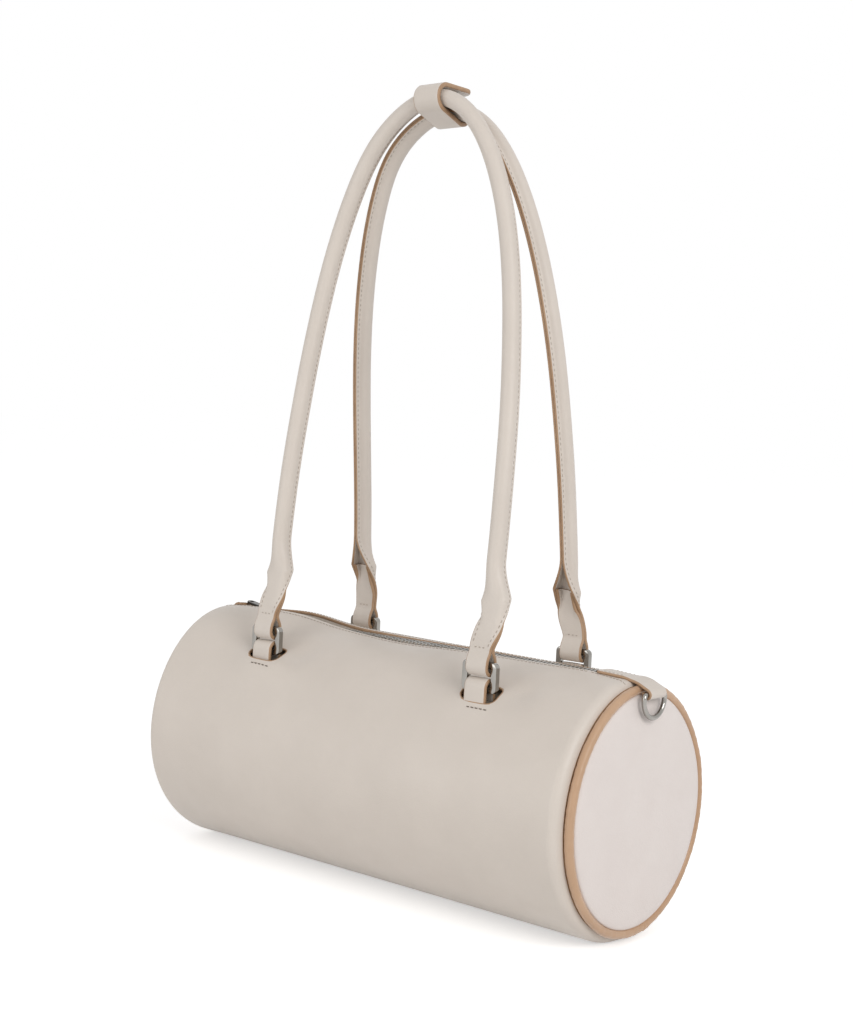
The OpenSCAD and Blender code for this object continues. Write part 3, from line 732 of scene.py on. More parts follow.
def leather_radius(x, turn):
    """Outside radius of the body leather, with its soft shoulders, dents and slack."""
    from_end = by_end(x, "stop") - np.abs(x)
    free = ease(from_end / WAVE_END_FADE)
    free = free * ease((np.abs(turn) - WAVE_ZIP_FADE[0]) / WAVE_ZIP_FADE[1])
    free = free * ease((WAVE_BASE_FADE[0] - np.abs(turn)) / WAVE_BASE_FADE[1])
    waves = soft_noise(x / WAVE_REPEAT + 0.5, turn / 360, *WAVE_CELLS, WAVE_SEED)
    full = BODY_R - WAVE_DEPTH * free * (1 + waves)
    slack, kept = 0.0, 1.0
    for at_x, at_turn, wide, high, out in SLACK:
        slack = slack + out * hill(x - at_x, turn - at_turn, wide, high)
    for sx, sy in FITTINGS:
        dx = x - sx * FITTING_X
        dy = (turn - turn_of(sy * FITTING_Y)) * math.radians(BODY_R)

        def form(along, outwards, wide, high):
            return hill(dx - along, dy - sy * outwards, wide, high)

        kept = kept - form(*FITTING_CALM)
        for place, out in FITTING_FORMS:
            full = full + out * form(*place)
    full = full + slack * kept
    edge = by_end(x, "edge_r") - rim_sag(x, turn)
    s = np.clip(1 - from_end / by_end(x, "shoulder"), 0, 1)
    return full - (full - edge) * (1 - np.sqrt(np.clip(1 - s ** by_end(x, "square"), 0, 1)))


def leather_place(x, turn, depth=0.0):
    """Points on the leather, depth below its outside, with the body's flat base."""
    r = leather_radius(x, turn) - depth
    a = np.radians(turn)
    z = AXIS_Z + r * np.cos(a)
    power = np.clip((z - depth) / BASE_SOFT, -SAFE_POWER, SAFE_POWER)
    z = np.where(z < depth + BASE_REACH, depth + BASE_SOFT * np.log1p(np.exp(power)), z)
    z = z - BASE_SOFT * np.exp(-np.clip(z - depth, 0, None) / BASE_SOFT) * BASE_DRAW
    return np.stack([np.broadcast_to(x, z.shape), r * np.sin(a), np.maximum(z, depth)], axis=-1)


def leather_normal(x, turn):
    """Outward direction of the leather at a place."""
    d = 0.5  # half the distance between the two places that give each slope
    ex = leather_place(x + d, turn) - leather_place(x - d, turn)
    et = leather_place(x, turn + d) - leather_place(x, turn - d)
    return unit(np.cross(et, ex))


def leather_seam(x, turn, seam):
    return stitches(leather_place(x, turn), leather_normal(x, turn), seam)


def window_turns(sy):
    """The turns between which the windows on one side of the zip lie, lowest first."""
    return sorted(turn_of(sy * (FITTING_Y + e * WINDOW_HALF_Y)) for e in (-1, 1))


def window_warp(x, turn):
    """Rounds the square windows of the grid into a D, wider on the right and at the outer side."""
    for sx, sy in FITTINGS:
        cx = sx * FITTING_X
        low, high = window_turns(sy)
        mid, half = (low + high) / 2, (high - low) / 2
        u, v = (x - cx) / WINDOW_HALF_X, (turn - mid) / half
        m = np.maximum(np.abs(u), np.abs(v)) + TINY
        outer = np.where(u < 0, CORNER_OUTER_LEFT, CORNER_OUTER_RIGHT)
        power = np.where(v * sy > 0, outer, CORNER_INNER)
        round_by = ((np.abs(u) / m) ** power + (np.abs(v) / m) ** power) ** (-1 / power)
        k = mix(1.0, round_by, ease((CORNER_REACH - m) / (CORNER_REACH - 1)))
        near = m < CORNER_REACH
        x = np.where(near, cx + u * k * WINDOW_HALF_X, x)
        turn = np.where(near, mid + v * k * half, turn)
    return x, turn


def make_body_leather():
    """The wrapped leather with the opening over the zip and the four windows cut out of its grid."""
    step_x, fine_step_x, margin_x = 3.0, 0.9, 7
    step_turn, fine_step_turn, margin_turn = 2.2, 0.8, 4
    slot_turn = turn_of(SLOT_HALF_Y)
    rim_turn = math.degrees(WINDOW_RIM / BODY_R)
    window_x = [(sx * FITTING_X - WINDOW_HALF_X, sx * FITTING_X + WINDOW_HALF_X) for sx in (-1, 1)]
    window_turn = [window_turns(sy) for sy in (-1, 1)]
    rim_x = [v for a, b in window_x for v in (a - WINDOW_RIM, a, b, b + WINDOW_RIM)]
    rim_turns = [v for a, b in window_turn for v in (a - rim_turn, a, b, b + rim_turn)]
    left, right = -LEFT_END.stop, RIGHT_END.stop
    fine_x = [(a - margin_x, b + margin_x) for a, b in window_x]
    fine_x += [(left, left + LEFT_END.shoulder), (right - RIGHT_END.shoulder, right)]
    fine_turn = [(a - margin_turn, b + margin_turn) for a, b in window_turn]
    xs = lines([left, right, -SLOT_HALF_X, SLOT_HALF_X] + rim_x, step_x, fine_x, fine_step_x)
    turns = lines([-180, 180, -slot_turn, slot_turn] + rim_turns, step_turn, fine_turn, fine_step_turn)[:-1]
    place = window_warp(*np.meshgrid(xs, turns, indexing="ij"))
    outer, inner = (leather_place(*place, depth).reshape(-1, 3) for depth in (0.0, LEATHER_T))
    faces = grid_faces(len(xs), len(turns), closed=True)
    mid_x = (xs[:-1] + xs[1:]) / 2
    mid_turn = (turns + np.append(turns[1:], 180)) / 2

    def inside(ax, bx, at, bt):
        return ((mid_x > ax) & (mid_x < bx))[:, None] & ((mid_turn > at) & (mid_turn < bt))[None, :]

    gone = inside(-SLOT_HALF_X, SLOT_HALF_X, -slot_turn, slot_turn)
    rim = np.zeros_like(gone)
    for ax, bx in window_x:
        for at, bt in window_turn:
            gone |= inside(ax, bx, at, bt)
            rim |= inside(ax - WINDOW_RIM, bx + WINDOW_RIM, at - rim_turn, bt + rim_turn)
    verts, all_faces, kinds = thick_sheet(outer, inner, faces[~gone].reshape(-1, 4))
    painted = rim[~gone]
    kinds[:len(painted)] = painted.astype(int).tolist()
    piece("body_leather", (verts, all_faces, kinds), BODY_LOOK, "bag", "shell")


def make_lining():
    """Cloth lining with slack folds, and a round of cloth at each end."""
    gap, slot_y, step, step_turn = 3.2, 8, 5, 2.5
    hang, cloth_t, fold_depth, fold_repeat, fold_fade, fold_seed = 0.7, 0.6, 0.5, 800, 20, 5
    r0 = BODY_R - LEATHER_T - gap
    half = node_box("lining")[1][0]
    low = node_box("lining")[0][2]
    slot = math.degrees(math.asin(slot_y / r0))
    xs, turns = steps(-half, half, step), steps(slot, 360 - slot, step_turn)
    gx, gt = np.meshgrid(xs, turns, indexing="ij")
    folds = soft_noise(gx / fold_repeat + 0.5, gt / 360, 9, 26, fold_seed)
    folds = fold_depth * folds * ease((half - np.abs(gx)) / fold_fade)

    def at(depth):
        r = r0 - hang + folds - depth
        a = np.radians(gt)
        z = np.maximum(AXIS_Z + r * np.cos(a), low + depth)
        return np.stack([gx, r * np.sin(a), z], axis=-1).reshape(-1, 3)

    faces = grid_faces(len(xs), len(turns)).reshape(-1, 4)
    sheet = thick_sheet(at(0), at(cloth_t), faces, bulge=0.1, wall_steps=1)
    wrap = piece("lining_wrap", sheet[:2], LINING_LOOK, "bag", "lining")

    around, ring_count, innermost, inset, edge_gap = 60, 14, 0.08, 0.8, 1.2
    wave_depth, wave_repeat, wave_seed = 0.2, 150, 9
    edge_r = r0 - edge_gap
    rr, turn = np.meshgrid(np.linspace(1, innermost, ring_count) * edge_r, np.arange(around) * 360 / around,
                           indexing="ij")
    y = rr * np.sin(np.radians(turn))
    z = np.maximum(AXIS_Z + rr * np.cos(np.radians(turn)), low + hang)
    wave = wave_depth * soft_noise(y / wave_repeat + 0.5, z / wave_repeat, 5, 5, wave_seed)
    for sx, side_name in SIDES:
        face = np.stack([sx * (half - inset + wave), y, z], axis=-1).reshape(-1, 3)
        face = np.concatenate([face, [[sx * (half - inset), 0, AXIS_Z]]])
        cloth_mesh = round_sheet(face, face - X * sx * cloth_t, ring_count, around)
        made = piece("lining_end_" + side_name, cloth_mesh, LINING_LOOK, "bag", "lining")


# An end panel's rim from the piping's middle, inwards and outwards; how far it stands full inside that rim,
# its dome and slack, its thickness, and how sharply it rises at the rim
PANEL_RIM_IN, PANEL_RIM_OUT = 2.55, 0.4
PANEL_PUFF, PANEL_DOME, PANEL_SLACK, PANEL_T = 3.5, 0.6, 0.4, 2.2
PANEL_EDGE, PANEL_ROUND = 12, 1 / 3
PANEL_RINGS, PANEL_AROUND, PANEL_INNERMOST, PANEL_CROWDING = 40, 144, 0.97, 1.8
PANEL_REPEAT, PANEL_SEED = 240, 21
# Where the piping's ends lap, how long the lap is with its two slopes, and how far it stands up
JOINTS = {-1: 192, 1: 168}
LAP_MARKS = (0, 0.15, 3.2, 3.6)
LAP_FROM, LAP_TO, LAP_RISE = 0.1, 3.4, 0.32
PIPING_SIDES, PIPING_STEP, CORD_STEP = 24, 1.2, 3
PIPING_WANDER, PIPING_SWELL, PIPING_SEED = 0.1, 0.6, 31
# Fine ripples of the piping: height, waves round the ring and start
RIPPLES = ((0.06, 61, 0), (0.05, 97, 1))


def make_end(sx, side_name):
    """An end panel that stands full inside its piping, the piping round it and the piping's cord."""
    end = LEFT_END if sx < 0 else RIGHT_END
    shares = 1 - np.linspace(0, PANEL_INNERMOST, PANEL_RINGS) ** PANEL_CROWDING
    share, turn = np.meshgrid(shares, np.arange(PANEL_AROUND) * 360 / PANEL_AROUND, indexing="ij")
    a = np.radians(turn)
    rr = share * (end.ring_r - PANEL_RIM_IN - rim_sag(sx * np.ones_like(turn), turn))
    y, z = rr * np.sin(a), rr * np.cos(a)
    rise = np.clip(1 - share ** PANEL_EDGE, 0, 1) ** PANEL_ROUND
    slack = soft_noise(y / PANEL_REPEAT + 0.5, z / PANEL_REPEAT + 0.5, 5, 5, PANEL_SEED + sx) * PANEL_SLACK
    front = end.piping_x + PANEL_RIM_OUT + (PANEL_PUFF + slack) * rise + PANEL_DOME * (1 - share ** 2)
    outer = np.stack([front, y, z + AXIS_Z], axis=-1).reshape(-1, 3)
    outer = np.concatenate([outer, [[front[-1].mean(), 0, AXIS_Z]]])
    inner = outer * [0, 1, 1] + X * (HALF_L - PANEL_T)
    verts, faces = round_sheet(outer, inner, PANEL_RINGS, PANEL_AROUND)
    piece("end_leather_" + side_name, (verts * [sx, 1, 1], faces), END_LOOK, "bag",
          "end_panel_" + side_name)

    def ring_round(turn, r, wander=0.0):
        a = math.radians(turn)
        out = np.array([0, math.sin(a), math.cos(a)])
        c = np.array([end.piping_x, 0, AXIS_Z]) + out * (end.ring_r + wander - float(rim_sag(sx, turn)))
        return circle(c, X, out, r, PIPING_SIDES) * [sx, 1, 1]

    joint = JOINTS[sx]
    rings = []
    for turn in np.sort(np.concatenate([np.arange(0, 360, PIPING_STEP), [joint + m for m in LAP_MARKS]])):
        a = math.radians(turn)
        lap = LAP_RISE if joint + LAP_FROM < turn < joint + LAP_TO else 0.0
        ripple = sum(h * math.sin(a * n + start) for h, n, start in RIPPLES)
        noise = soft_noise(np.array(turn / 360), np.array(0.3), 40, 3, PIPING_SEED + sx)
        wander = float(noise) * PIPING_WANDER
        rings.append(ring_round(turn, COVER_R + lap + ripple + wander * PIPING_SWELL, wander))
    piece("piping_cover_" + side_name, looped_tube(np.array(rings)), PIPING_LOOK, "bag",
          "piping_" + side_name)
    rings = np.array([ring_round(turn, CORD_R) for turn in range(0, 360, CORD_STEP)])
    piece("piping_core_" + side_name, looped_tube(rings), CORD_LOOK, "bag", "piping_cord_" + side_name)


# Zip: where the tape starts and ends beside the middle, its gaps under the leather, the cloth that its
# bead and its rise to the lips take beyond its plan, and the teeth, whose heads reach between the others
TAPE_IN, TAPE_OUT, TAPE_T = 3.4, 14.9, 0.8
TAPE_GAP, TAPE_HELD_GAP, TAPE_EXTRA = 0.05, 0.1, 4
BEAD_R = 0.75
TOOTH_PITCH, TOOTH_SHIFT, TOOTH_BEVEL = 3.0, 0.675, 0.22
TOOTH_FOOT, TOOTH_TOP, ROW_FROM, ROW_TO = 0.1, 0.05, 1.5, 1.2
TOOTH_HALF = [(-0.72, 4.4), (-0.72, 3.0), (-0.5, 2.3), (-0.66, 1.5), (-0.66 * 0.7, 0.75), (-0.3, 0.48)]
TOOTH_PLAN = TOOTH_HALF + [(-x, y) for x, y in TOOTH_HALF[::-1]]
STOP_W, STOP_H, STOP_CORNER, STOP_BEVEL, STOP_X, STOP_Y = 2.9, 2.6, 0.5, 0.3, 1.6, 2.0


def make_zip():
    """The two tapes with their beads, the rows of teeth and the end stops."""
    half, row_half = node_box("zip_tape_front")[1][0], TEETH_HIGH[0]
    low_z, high_z = TEETH_LOW[2], TEETH_HIGH[2]
    for sy, side_name in ((-1, "front"), (1, "back")):
        xs, ys = steps(-half, half, 4), np.linspace(TAPE_IN, TAPE_OUT, 10)
        gx, gy = np.meshgrid(xs, ys, indexing="ij")
        turn = np.degrees(np.arcsin(gy * sy / BODY_R))
        under = leather_place(gx, turn, LEATHER_T + TAPE_HELD_GAP)[..., 2]
        held = ease((gy - TAPE_IN) / (SLOT_HALF_Y - TAPE_IN))
        top = mix(AXIS_Z + np.sqrt((BODY_R - LEATHER_T - TAPE_GAP) ** 2 - gy ** 2), under, held)
        outer = np.stack([gx, gy * sy, top], axis=-1).reshape(-1, 3)
        faces = grid_faces(len(xs), len(ys)).reshape(-1, 4)
        sheet = thick_sheet(outer, outer - Z * TAPE_T, faces, bulge=0.05, wall_steps=1)
        bead_z = (low_z + high_z) / 2
        bead = np.array([circle(np.array([x, sy * TAPE_IN, bead_z]), Y, Z, BEAD_R, 8)
                         for x in steps(-row_half, row_half, 8)])
        tape = piece("zip_cloth_" + side_name, join([sheet[:2], closed_tube(bead)]), TAPE_LOOK, "bag",
                     "zip_tape_" + side_name)
        teeth = [plate([(x + sy * TOOTH_SHIFT + px, sy * py) for px, py in TOOTH_PLAN],
                       low_z + TOOTH_FOOT, high_z - TOOTH_TOP, TOOTH_BEVEL)
                 for x in np.arange(-row_half + ROW_FROM, row_half - ROW_TO, TOOTH_PITCH)]
        piece("zip_teeth_row_" + side_name, join(teeth), ZIP_LOOK, "bag", "zip_teeth_" + side_name,
              sharp=35)
    outline = rounded_rectangle(STOP_W, STOP_H, STOP_CORNER, 4)
    stops = [plate(outline + [end * (row_half + STOP_X), sy * STOP_Y], low_z, high_z, STOP_BEVEL)
             for end in (-1, 1) for sy in (-1, 1)]
    piece("zip_end_stops", join(stops), ZIP_LOOK, "bag", "zip_stops", sharp=35)


# Slider: half the plan of its two plates, the rails under the upper one, the wedge between the rows, and
# the two bails that hold the pull's pin
SLIDER_HALF = [(5.4, 3.2), (4.6, 4.2), (2.2, 4.62), (-1.6, 4.5), (-4.6, 3.7), (-5.4, 2.6)]
SLIDER_T, SLIDER_GAP, LOWER_BEVEL, UPPER_BEVEL = 1.1, 0.4, 0.3, 0.36
RAIL_L, RAIL_W, RAIL_CORNER, RAIL_BEVEL = 9.0, 0.8, 0.3, 0.1
RAIL_Y, RAIL_DROP, RAIL_RISE = 4.1, 0.25, 0.3
WEDGE_L, WEDGE_W, WEDGE_CORNER, WEDGE_BEVEL = 2.4, 0.66, 0.2, 0.05
WEDGE_X, WEDGE_OVER = -4.2, 0.5
BAIL_Y, BAIL_R, BAIL_HALF_L, BAIL_FOOT = 1.75, 1.95, 2.7, 0.55
BAIL_RIMS = ((-0.8, 0.2), (-0.6, 0.0), (0.6, 0.0), (0.8, 0.2))
# Pull: its size, the hole in its end, its stem from the pin's plate to the body, and its waist
PULL_L, PULL_W, PULL_T, PULL_BEVEL, PULL_HOLE_R = 30.0, 7.0, 1.6, 0.4, 1.5
PULL_STEM = [(-7.2, -2.3), (-5.6, -1.3), (-4.2, -0.74), (0.2, -0.74)]
PULL_WAIST = (-16, 3.1)
PIN_RINGS = ((-2.75, 0.7), (-2.6, 0.95), (2.6, 0.95), (2.75, 0.7))


def make_slider():
    """The slider's body with its bails, and the pull with its pin, its free end risen off the leather."""
    low, top = node_box("zip_slider")[0][2], TEETH_HIGH[2] + SLIDER_GAP
    outline = np.array(SLIDER_HALF + [(x, -y) for x, y in SLIDER_HALF[::-1]]) + [SLIDER_X, 0]
    parts = [plate(outline, low, low + SLIDER_T, LOWER_BEVEL),
             plate(outline, top, top + SLIDER_T, UPPER_BEVEL)]
    for sy in (-1, 1):
        rail = rounded_rectangle(RAIL_L, RAIL_W, RAIL_CORNER, 3) + [SLIDER_X, sy * RAIL_Y]
        parts.append(plate(rail, top - RAIL_DROP, top + RAIL_RISE, RAIL_BEVEL))
    wedge = rounded_rectangle(WEDGE_L, WEDGE_W, WEDGE_CORNER, 3) + [SLIDER_X + WEDGE_X, 0]
    parts.append(plate(wedge, low + WEDGE_OVER, top + WEDGE_OVER, WEDGE_BEVEL))
    profile = np.concatenate([[(BAIL_HALF_L, 0.0)], arc((0, BAIL_Z - top - BAIL_FOOT), BAIL_R, 10, 170, 14),
                              [(-BAIL_HALF_L, 0.0)]])
    inwards = unit(np.array([0, (BAIL_Z - top) * 0.5]) - profile)
    for sy in (-1, 1):
        parts.append(closed_tube(np.array([
            at_y(sy * BAIL_Y + dy, profile + inwards * inset + [SLIDER_X, top + BAIL_FOOT])
            for dy, inset in BAIL_RIMS])))
    piece("zip_slider_body", join(parts), DARK_LOOK, "slider", "zip_slider", sharp=35)

    eye = np.array([-PULL_L + PULL_W / 2, 0])
    stem = PULL_STEM + [(x, -y) for x, y in PULL_STEM[::-1]]
    waist_x, waist_y = PULL_WAIST
    outline = np.concatenate([arc(eye, PULL_W / 2, 90, 270, 17), [(waist_x, -waist_y)], stem,
                              [(waist_x, waist_y)]])
    hole_turn = np.arctan2(outline[:, 1] - eye[1], outline[:, 0] - eye[0])
    hole = eye + PULL_HOLE_R * np.stack([np.cos(hole_turn), np.sin(hole_turn)], axis=1)
    place = np.array([SLIDER_X, 0])
    tab_verts, tab_faces = plate(outline + place, BAIL_Z - PULL_T / 2, BAIL_Z + PULL_T / 2, PULL_BEVEL,
                                 hole + place)
    tab_verts[:, 2] += PULL_LIFT * (SLIDER_X - tab_verts[:, 0]) / PULL_L
    pin = np.array([circle(np.array([SLIDER_X, y, BAIL_Z]), X, Z, r, 18) for y, r in PIN_RINGS])
    piece("zip_pull_tab", join([(tab_verts, tab_faces), closed_tube(pin)]), DARK_LOOK, "pull", "zip_pull",
          sharp=35)


# End tabs: how far beyond the solid's start each patch starts, its size, the loop's radius, and how far
# from the end of the body its straight part ends and its bend across begins and takes
PATCH_STARTS = {-1: 18, 1: 5}
END_TAB_W, END_TAB_T, END_LOOP_R = 18.0, 1.8, 2.75
PATCH_STOP, BEND_STOP, BEND_L, BEND_LAST = 6, 1, 8, 4
SEAM_INSET = 2
# Its gaps over the leather and the piping, where it falls beyond the piping, and the turns of its loop
SKIN_GAP, PIPING_GAP = 0.05, 0.15
FALL_X, FALL_SHARE = 3.5, 0.45
END_LOOP_FROM, END_LOOP_TO = 90, -205


def make_end_tab(sx, side_name):
    """The tab that lies on the leather, runs over the piping and loops round the D-ring's bar."""
    end = LEFT_END if sx < 0 else RIGHT_END
    patch_start = node_box("end_tab_right")[0][0] + PATCH_STARTS[sx]
    rest = END_TAB_T / 2 + SKIN_GAP

    def top_at(x, y):
        turn = np.degrees(np.arcsin(np.asarray(y) / BODY_R))
        return leather_place(sx * np.asarray(x, float), turn)[..., 2]

    lead = [(x, top_at(x, 0.0) + rest) for x in np.arange(patch_start, HALF_L - PATCH_STOP, 2)]
    over_piping = AXIS_Z + end.ring_r + COVER_R + rest + PIPING_GAP
    fall_z = mix(over_piping, DRING_Z + END_LOOP_R, FALL_SHARE)
    line = np.concatenate([lead, [(end.piping_x, over_piping), (end.piping_x + FALL_X, fall_z)],
                           arc((DRING_X, DRING_Z), END_LOOP_R, END_LOOP_FROM, END_LOOP_TO, 26)])
    line = rounded_line(line, step=0.8, passes=8, spacing=0.9)
    points = at_y(0, line)
    first = np.arange(len(points)) < np.argmax(points[:, 0])
    bend = np.where(first, ease((HALF_L - BEND_STOP - points[:, 0]) / BEND_L), 0)

    def lift(i, y):
        x = min(points[i, 0], HALF_L - BEND_LAST)
        return Z * ((top_at(x, y) - top_at(x, 0.0)) * bend[i])[:, None]

    verts, faces, kinds = flat_strip(points, Y, END_TAB_W, END_TAB_T, across=17, lift=lift)
    piece("end_tab_leather_" + side_name, (verts * [sx, 1, 1], faces, kinds), STRIP_LOOK, "bag",
          "end_tab_" + side_name)

    parts = []
    row = [i for i in range(2, len(points)) if first[i] and points[i, 0] < HALF_L - PATCH_STOP]
    for sy in (-1, 1):
        y = np.full(len(row), sy * (END_TAB_W / 2 - SEAM_INSET))
        z = top_at(points[row, 0], y) + END_TAB_T + SKIN_GAP
        normal = unit(np.stack([np.zeros(len(row)), y / BODY_R, np.ones(len(row))], axis=1))
        parts += stitches(np.stack([points[row, 0] * sx, y, z], axis=1), normal, FINE_SEAM)
    piece("end_tab_stitches_" + side_name, join(parts), STITCH_LOOK, "bag")


def make_d_ring(sx, side_name):
    """A D of round wire, its straight bar in the end tab's loop."""
    wire, bow, side, corner = 1.6, 11.6, 3.0, 1.6
    outline = np.concatenate([
        [(-bow + corner, 0.0), (bow - corner, 0.0), (bow, -corner), (bow, -side)],
        arc((0, -side), bow, 0, -180, 40), [(-bow, -corner)]])
    line = resample(np.concatenate([outline, outline[:1]]), step=0.7)[:-1]
    for _ in range(3):
        line = line / 2 + (np.roll(line, 1, axis=0) + np.roll(line, -1, axis=0)) / 4
    along = unit(np.roll(line, -1, axis=0) - np.roll(line, 1, axis=0))
    rings = [circle(np.array([sx * DRING_X, y, DRING_Z + z]), np.array([0, az, -ay]), X, wire, 16)
             for (y, z), (ay, az) in zip(line, along)]
    piece("d_ring_wire_" + side_name, looped_tube(np.array(rings)), RING_LOOK, side_name + "_d_ring",
          "d_ring_" + side_name)


# Handle fittings
def make_ring(sx, sy, end_name):
    """A rectangular ring of polished square bar with eased edges."""
    edge_r, inner_r, corner_growth = 0.55, 0.7, 0.62
    z = (PIVOT_Z + PIVOT_TOP_Z) / 2
    rings = []
    for out, deep in rounded_rectangle(RING_BAR_W, RING_BAR_D, edge_r, 4):
        reach = out + RING_BAR_W / 2
        outline = rounded_rectangle(RING_INNER_W + reach * 2, RING_INNER_H + reach * 2,
                                    inner_r + reach * corner_growth, 8)
        rings.append([(sx * FITTING_X + px, sy * FITTING_Y + deep, z + pz) for px, pz in outline])
    piece("bar_ring_" + end_name, looped_tube(np.array(rings)), RING_LOOK,
          end_name.split("_")[0] + "_rings", "ring_" + end_name, sharp=30)


# The feet of a tab under the ring's bar: how far outside the loop and how far below the bar each point is
OUTER_FOOT = ((0.3, 11), (0.1, 5))
INNER_FOOT = ((0, 4), (0.3, 7))


def make_anchor_tab(sx, sy, end_name):
    """The tab that comes out of its window, over the ring's lower bar and back in."""
    crown_rise, crown_lean = 0.25, 1.5
    line = np.concatenate([
        [(FITTING_Y + LOOP_R + out, PIVOT_Z - down) for out, down in OUTER_FOOT],
        arc((FITTING_Y, PIVOT_Z + LOOP_SLACK), LOOP_R, 0, 180, 24),
        [(FITTING_Y - LOOP_R - out, PIVOT_Z - down) for out, down in INNER_FOOT]])
    line = rounded_line(line, step=0.7, passes=6, spacing=0.8)
    points = at_x(sx * FITTING_X, line * [sy, 1])

    def crown(i, x):
        rise = crown_rise * (1 - (x / (TAB_W / 2)) ** 2)
        return unit(np.array([0, sy * (line[i, 0] - FITTING_Y), crown_lean])) * rise[:, None]

    strip = flat_strip(points, X, TAB_W, TAB_T, across=11, lift=crown)
    piece("anchor_leather_" + end_name, strip, STRIP_LOOK, "bag", "anchor_tab_" + end_name)


# Handles
# How far each leg leans along the bag at these shares of its height, in the photographed pose
HEIGHTS = (0, 0.2, 0.4, 0.55, 0.7, 0.85, 0.95, 1)
LEAN = {
    (-1, -1): (0, 1.2, 0.5, -2.0, -5.0, -6.5, -7.0, 0),
    (-1, 1): (0, 2.0, 0.8, -1.6, -2.6, -2.4, -1.0, 0),
    (1, -1): (0, 1.6, 2.1, 2.1, 1.5, -1.5, -7.0, 0),
    (1, 1): (0, -2.6, -2.2, -0.4, 0.8, 1.0, 0.5, 0),
}
LEAN_AT = np.linspace(0, 1, 201)
LEAN_CURVE = {leg: soften(np.interp(LEAN_AT, HEIGHTS, lean)[:, None], 160)[:, 0]
              for leg, lean in LEAN.items()}
# How far each leg is bent along the bag above its tab: most from KINK_H over KINK_HOLD, gone at OPEN_TO
KINK = {(-1, -1): 4.5, (-1, 1): 5.0, (1, -1): 0.0, (1, 1): -4.0}
KINK_H = 18.0
KINK_HOLD = 4
# The tab's tail: its gap inside the strip, how much it narrows, and from which share of the opening on
TAIL_GAP, TAIL_NARROWING, NARROW_FROM, NARROW_OVER = 0.04, 0.75, 0.45, 0.5
# How far beyond the opening the rings stay close together, and the cord's gap in the roll
FINE_PAST, CORE_GAP = 4, 0.3
# The upper loop's shoulders, inwards from the loop and above the bar, and the height where it comes flat
LOOP_SHOULDER_IN, LOOP_SHOULDER_UP, LOOP_FLAT_H = 0.7, 3.4, 1.0
# Points across the strip, and the radius of its rolled middle
ACROSS = 45
PLACES = np.arange(ACROSS)
ROLL_R = STRAP_R - STRAP_T / 2


def strap_line(v, sy):
    """The middle of a handle's roll: v is 0 at the left tab, 1 at the top and 2 at the right tab."""
    h = 2 - v if v > 1 else v
    a = math.radians(90) * h ** ARCH_POWER
    t = math.sin(a) ** (1 / ARCH_POWER)
    base_y = FITTING_Y - STRAP_R
    leg = (sy, 1 if v > 1 else -1)
    rise = STRAP_RISE * t
    kink = KINK[leg] * ease(rise / KINK_H) * ease((OPEN_TO - rise) / (OPEN_TO - KINK_H - KINK_HOLD))
    lean = np.interp(t, LEAN_AT, LEAN_CURVE[leg]) + kink
    return np.array([
        math.copysign(FITTING_X * math.cos(a), v - 1) + lean,
        sy * (STRAP_TOP_Y + (base_y - STRAP_TOP_Y) * (1 + math.cos(math.pi * t)) / 2),
        START_Z + (STRAP_RISE - sy * STRAP_STEP) * t,
    ])


def even_section(line):
    """A section's middle line with as many points as every other, from its last end to its first."""
    line = resample(line, step=0.05)
    return line[np.linspace(0, len(line) - 1, ACROSS).round().astype(int)][::-1]


def roll_section():
    """The rolled leather, from one fin edge round to the other. First number towards the fin."""
    gap, root_turn, root_out, passes = STRAP_T / 2 + 0.03, 8, 0.6, 30
    root = math.degrees(math.asin(gap / ROLL_R)) + root_turn
    fin = [(STRAP_FIN - STRAP_T * EDGE_BULGE / 2, gap), (ROLL_R + root_out, gap)]
    back = arc((0, 0), ROLL_R, root, 360 - root, 120)
    line = resample(np.concatenate([fin, back, [(p, -q) for p, q in fin[::-1]]]), step=0.2)
    return even_section(soften(line, passes))


def channel_section():
    """Where the strip opens: a channel as wide as the tab, open towards the other handle."""
    half = [(3.2, 7.6), (-1.4, 8.8), (-5.0, 8.0), (-STRAP_R + 0.1, 3.0)]
    line = resample(half + [(a, -b) for a, b in half[::-1]], step=0.5)
    return even_section(soften(line, passes=10))


ROLL = roll_section()
CHANNEL = channel_section()
FLAT_REACH = TAB_W / 2 - TAB_T * EDGE_BULGE / 2
FLAT = np.stack([np.zeros(ACROSS), np.linspace(-1, 1, ACROSS) * FLAT_REACH], axis=1)


def rise_at(v, sy):
    """Height of the roll's middle over the start of the strap."""
    return strap_line(v, sy)[2] - START_Z


def open_share(v, sy):
    """0 where the strip is flat at its tab, 1 where it is rolled."""
    return float(ease((rise_at(v, sy) - OPEN_FROM) / (OPEN_TO - OPEN_FROM)))


def section_at(v, sy):
    """Middle line of the strip's section, its outward normals and its thickness."""
    m = open_share(v, sy)
    flare = STRAP_FLARE * float(ease(rise_at(v, sy) / FLARE_TO))
    lay = FLAT * [1, 1 + flare] + [-STRAP_R - TAB_T / 2, 0]
    line = mix(lay, CHANNEL, m * 2) if m < 0.5 else mix(CHANNEL, ROLL, m * 2 - 1)
    along = unit(np.gradient(line, axis=0))
    return line, np.stack([-along[:, 1], along[:, 0]], axis=1), mix(TAB_T, STRAP_T, m)


def strap_frame(v, sy):
    """Middle of the roll, direction of the fin and direction across, at v."""
    d = 0.002  # the step of v that gives the direction
    if v < d or v > 2 - d:
        along = Z * (-1 if v > 1 else 1)
    else:
        along = unit(strap_line(min(2.0, v + d), sy) - strap_line(max(0.0, v - d), sy))
    inward = np.array([0.0, -sy, 0.0])
    fin = unit(inward - along * (inward @ along))
    return strap_line(v, sy), fin, np.cross(along, fin)


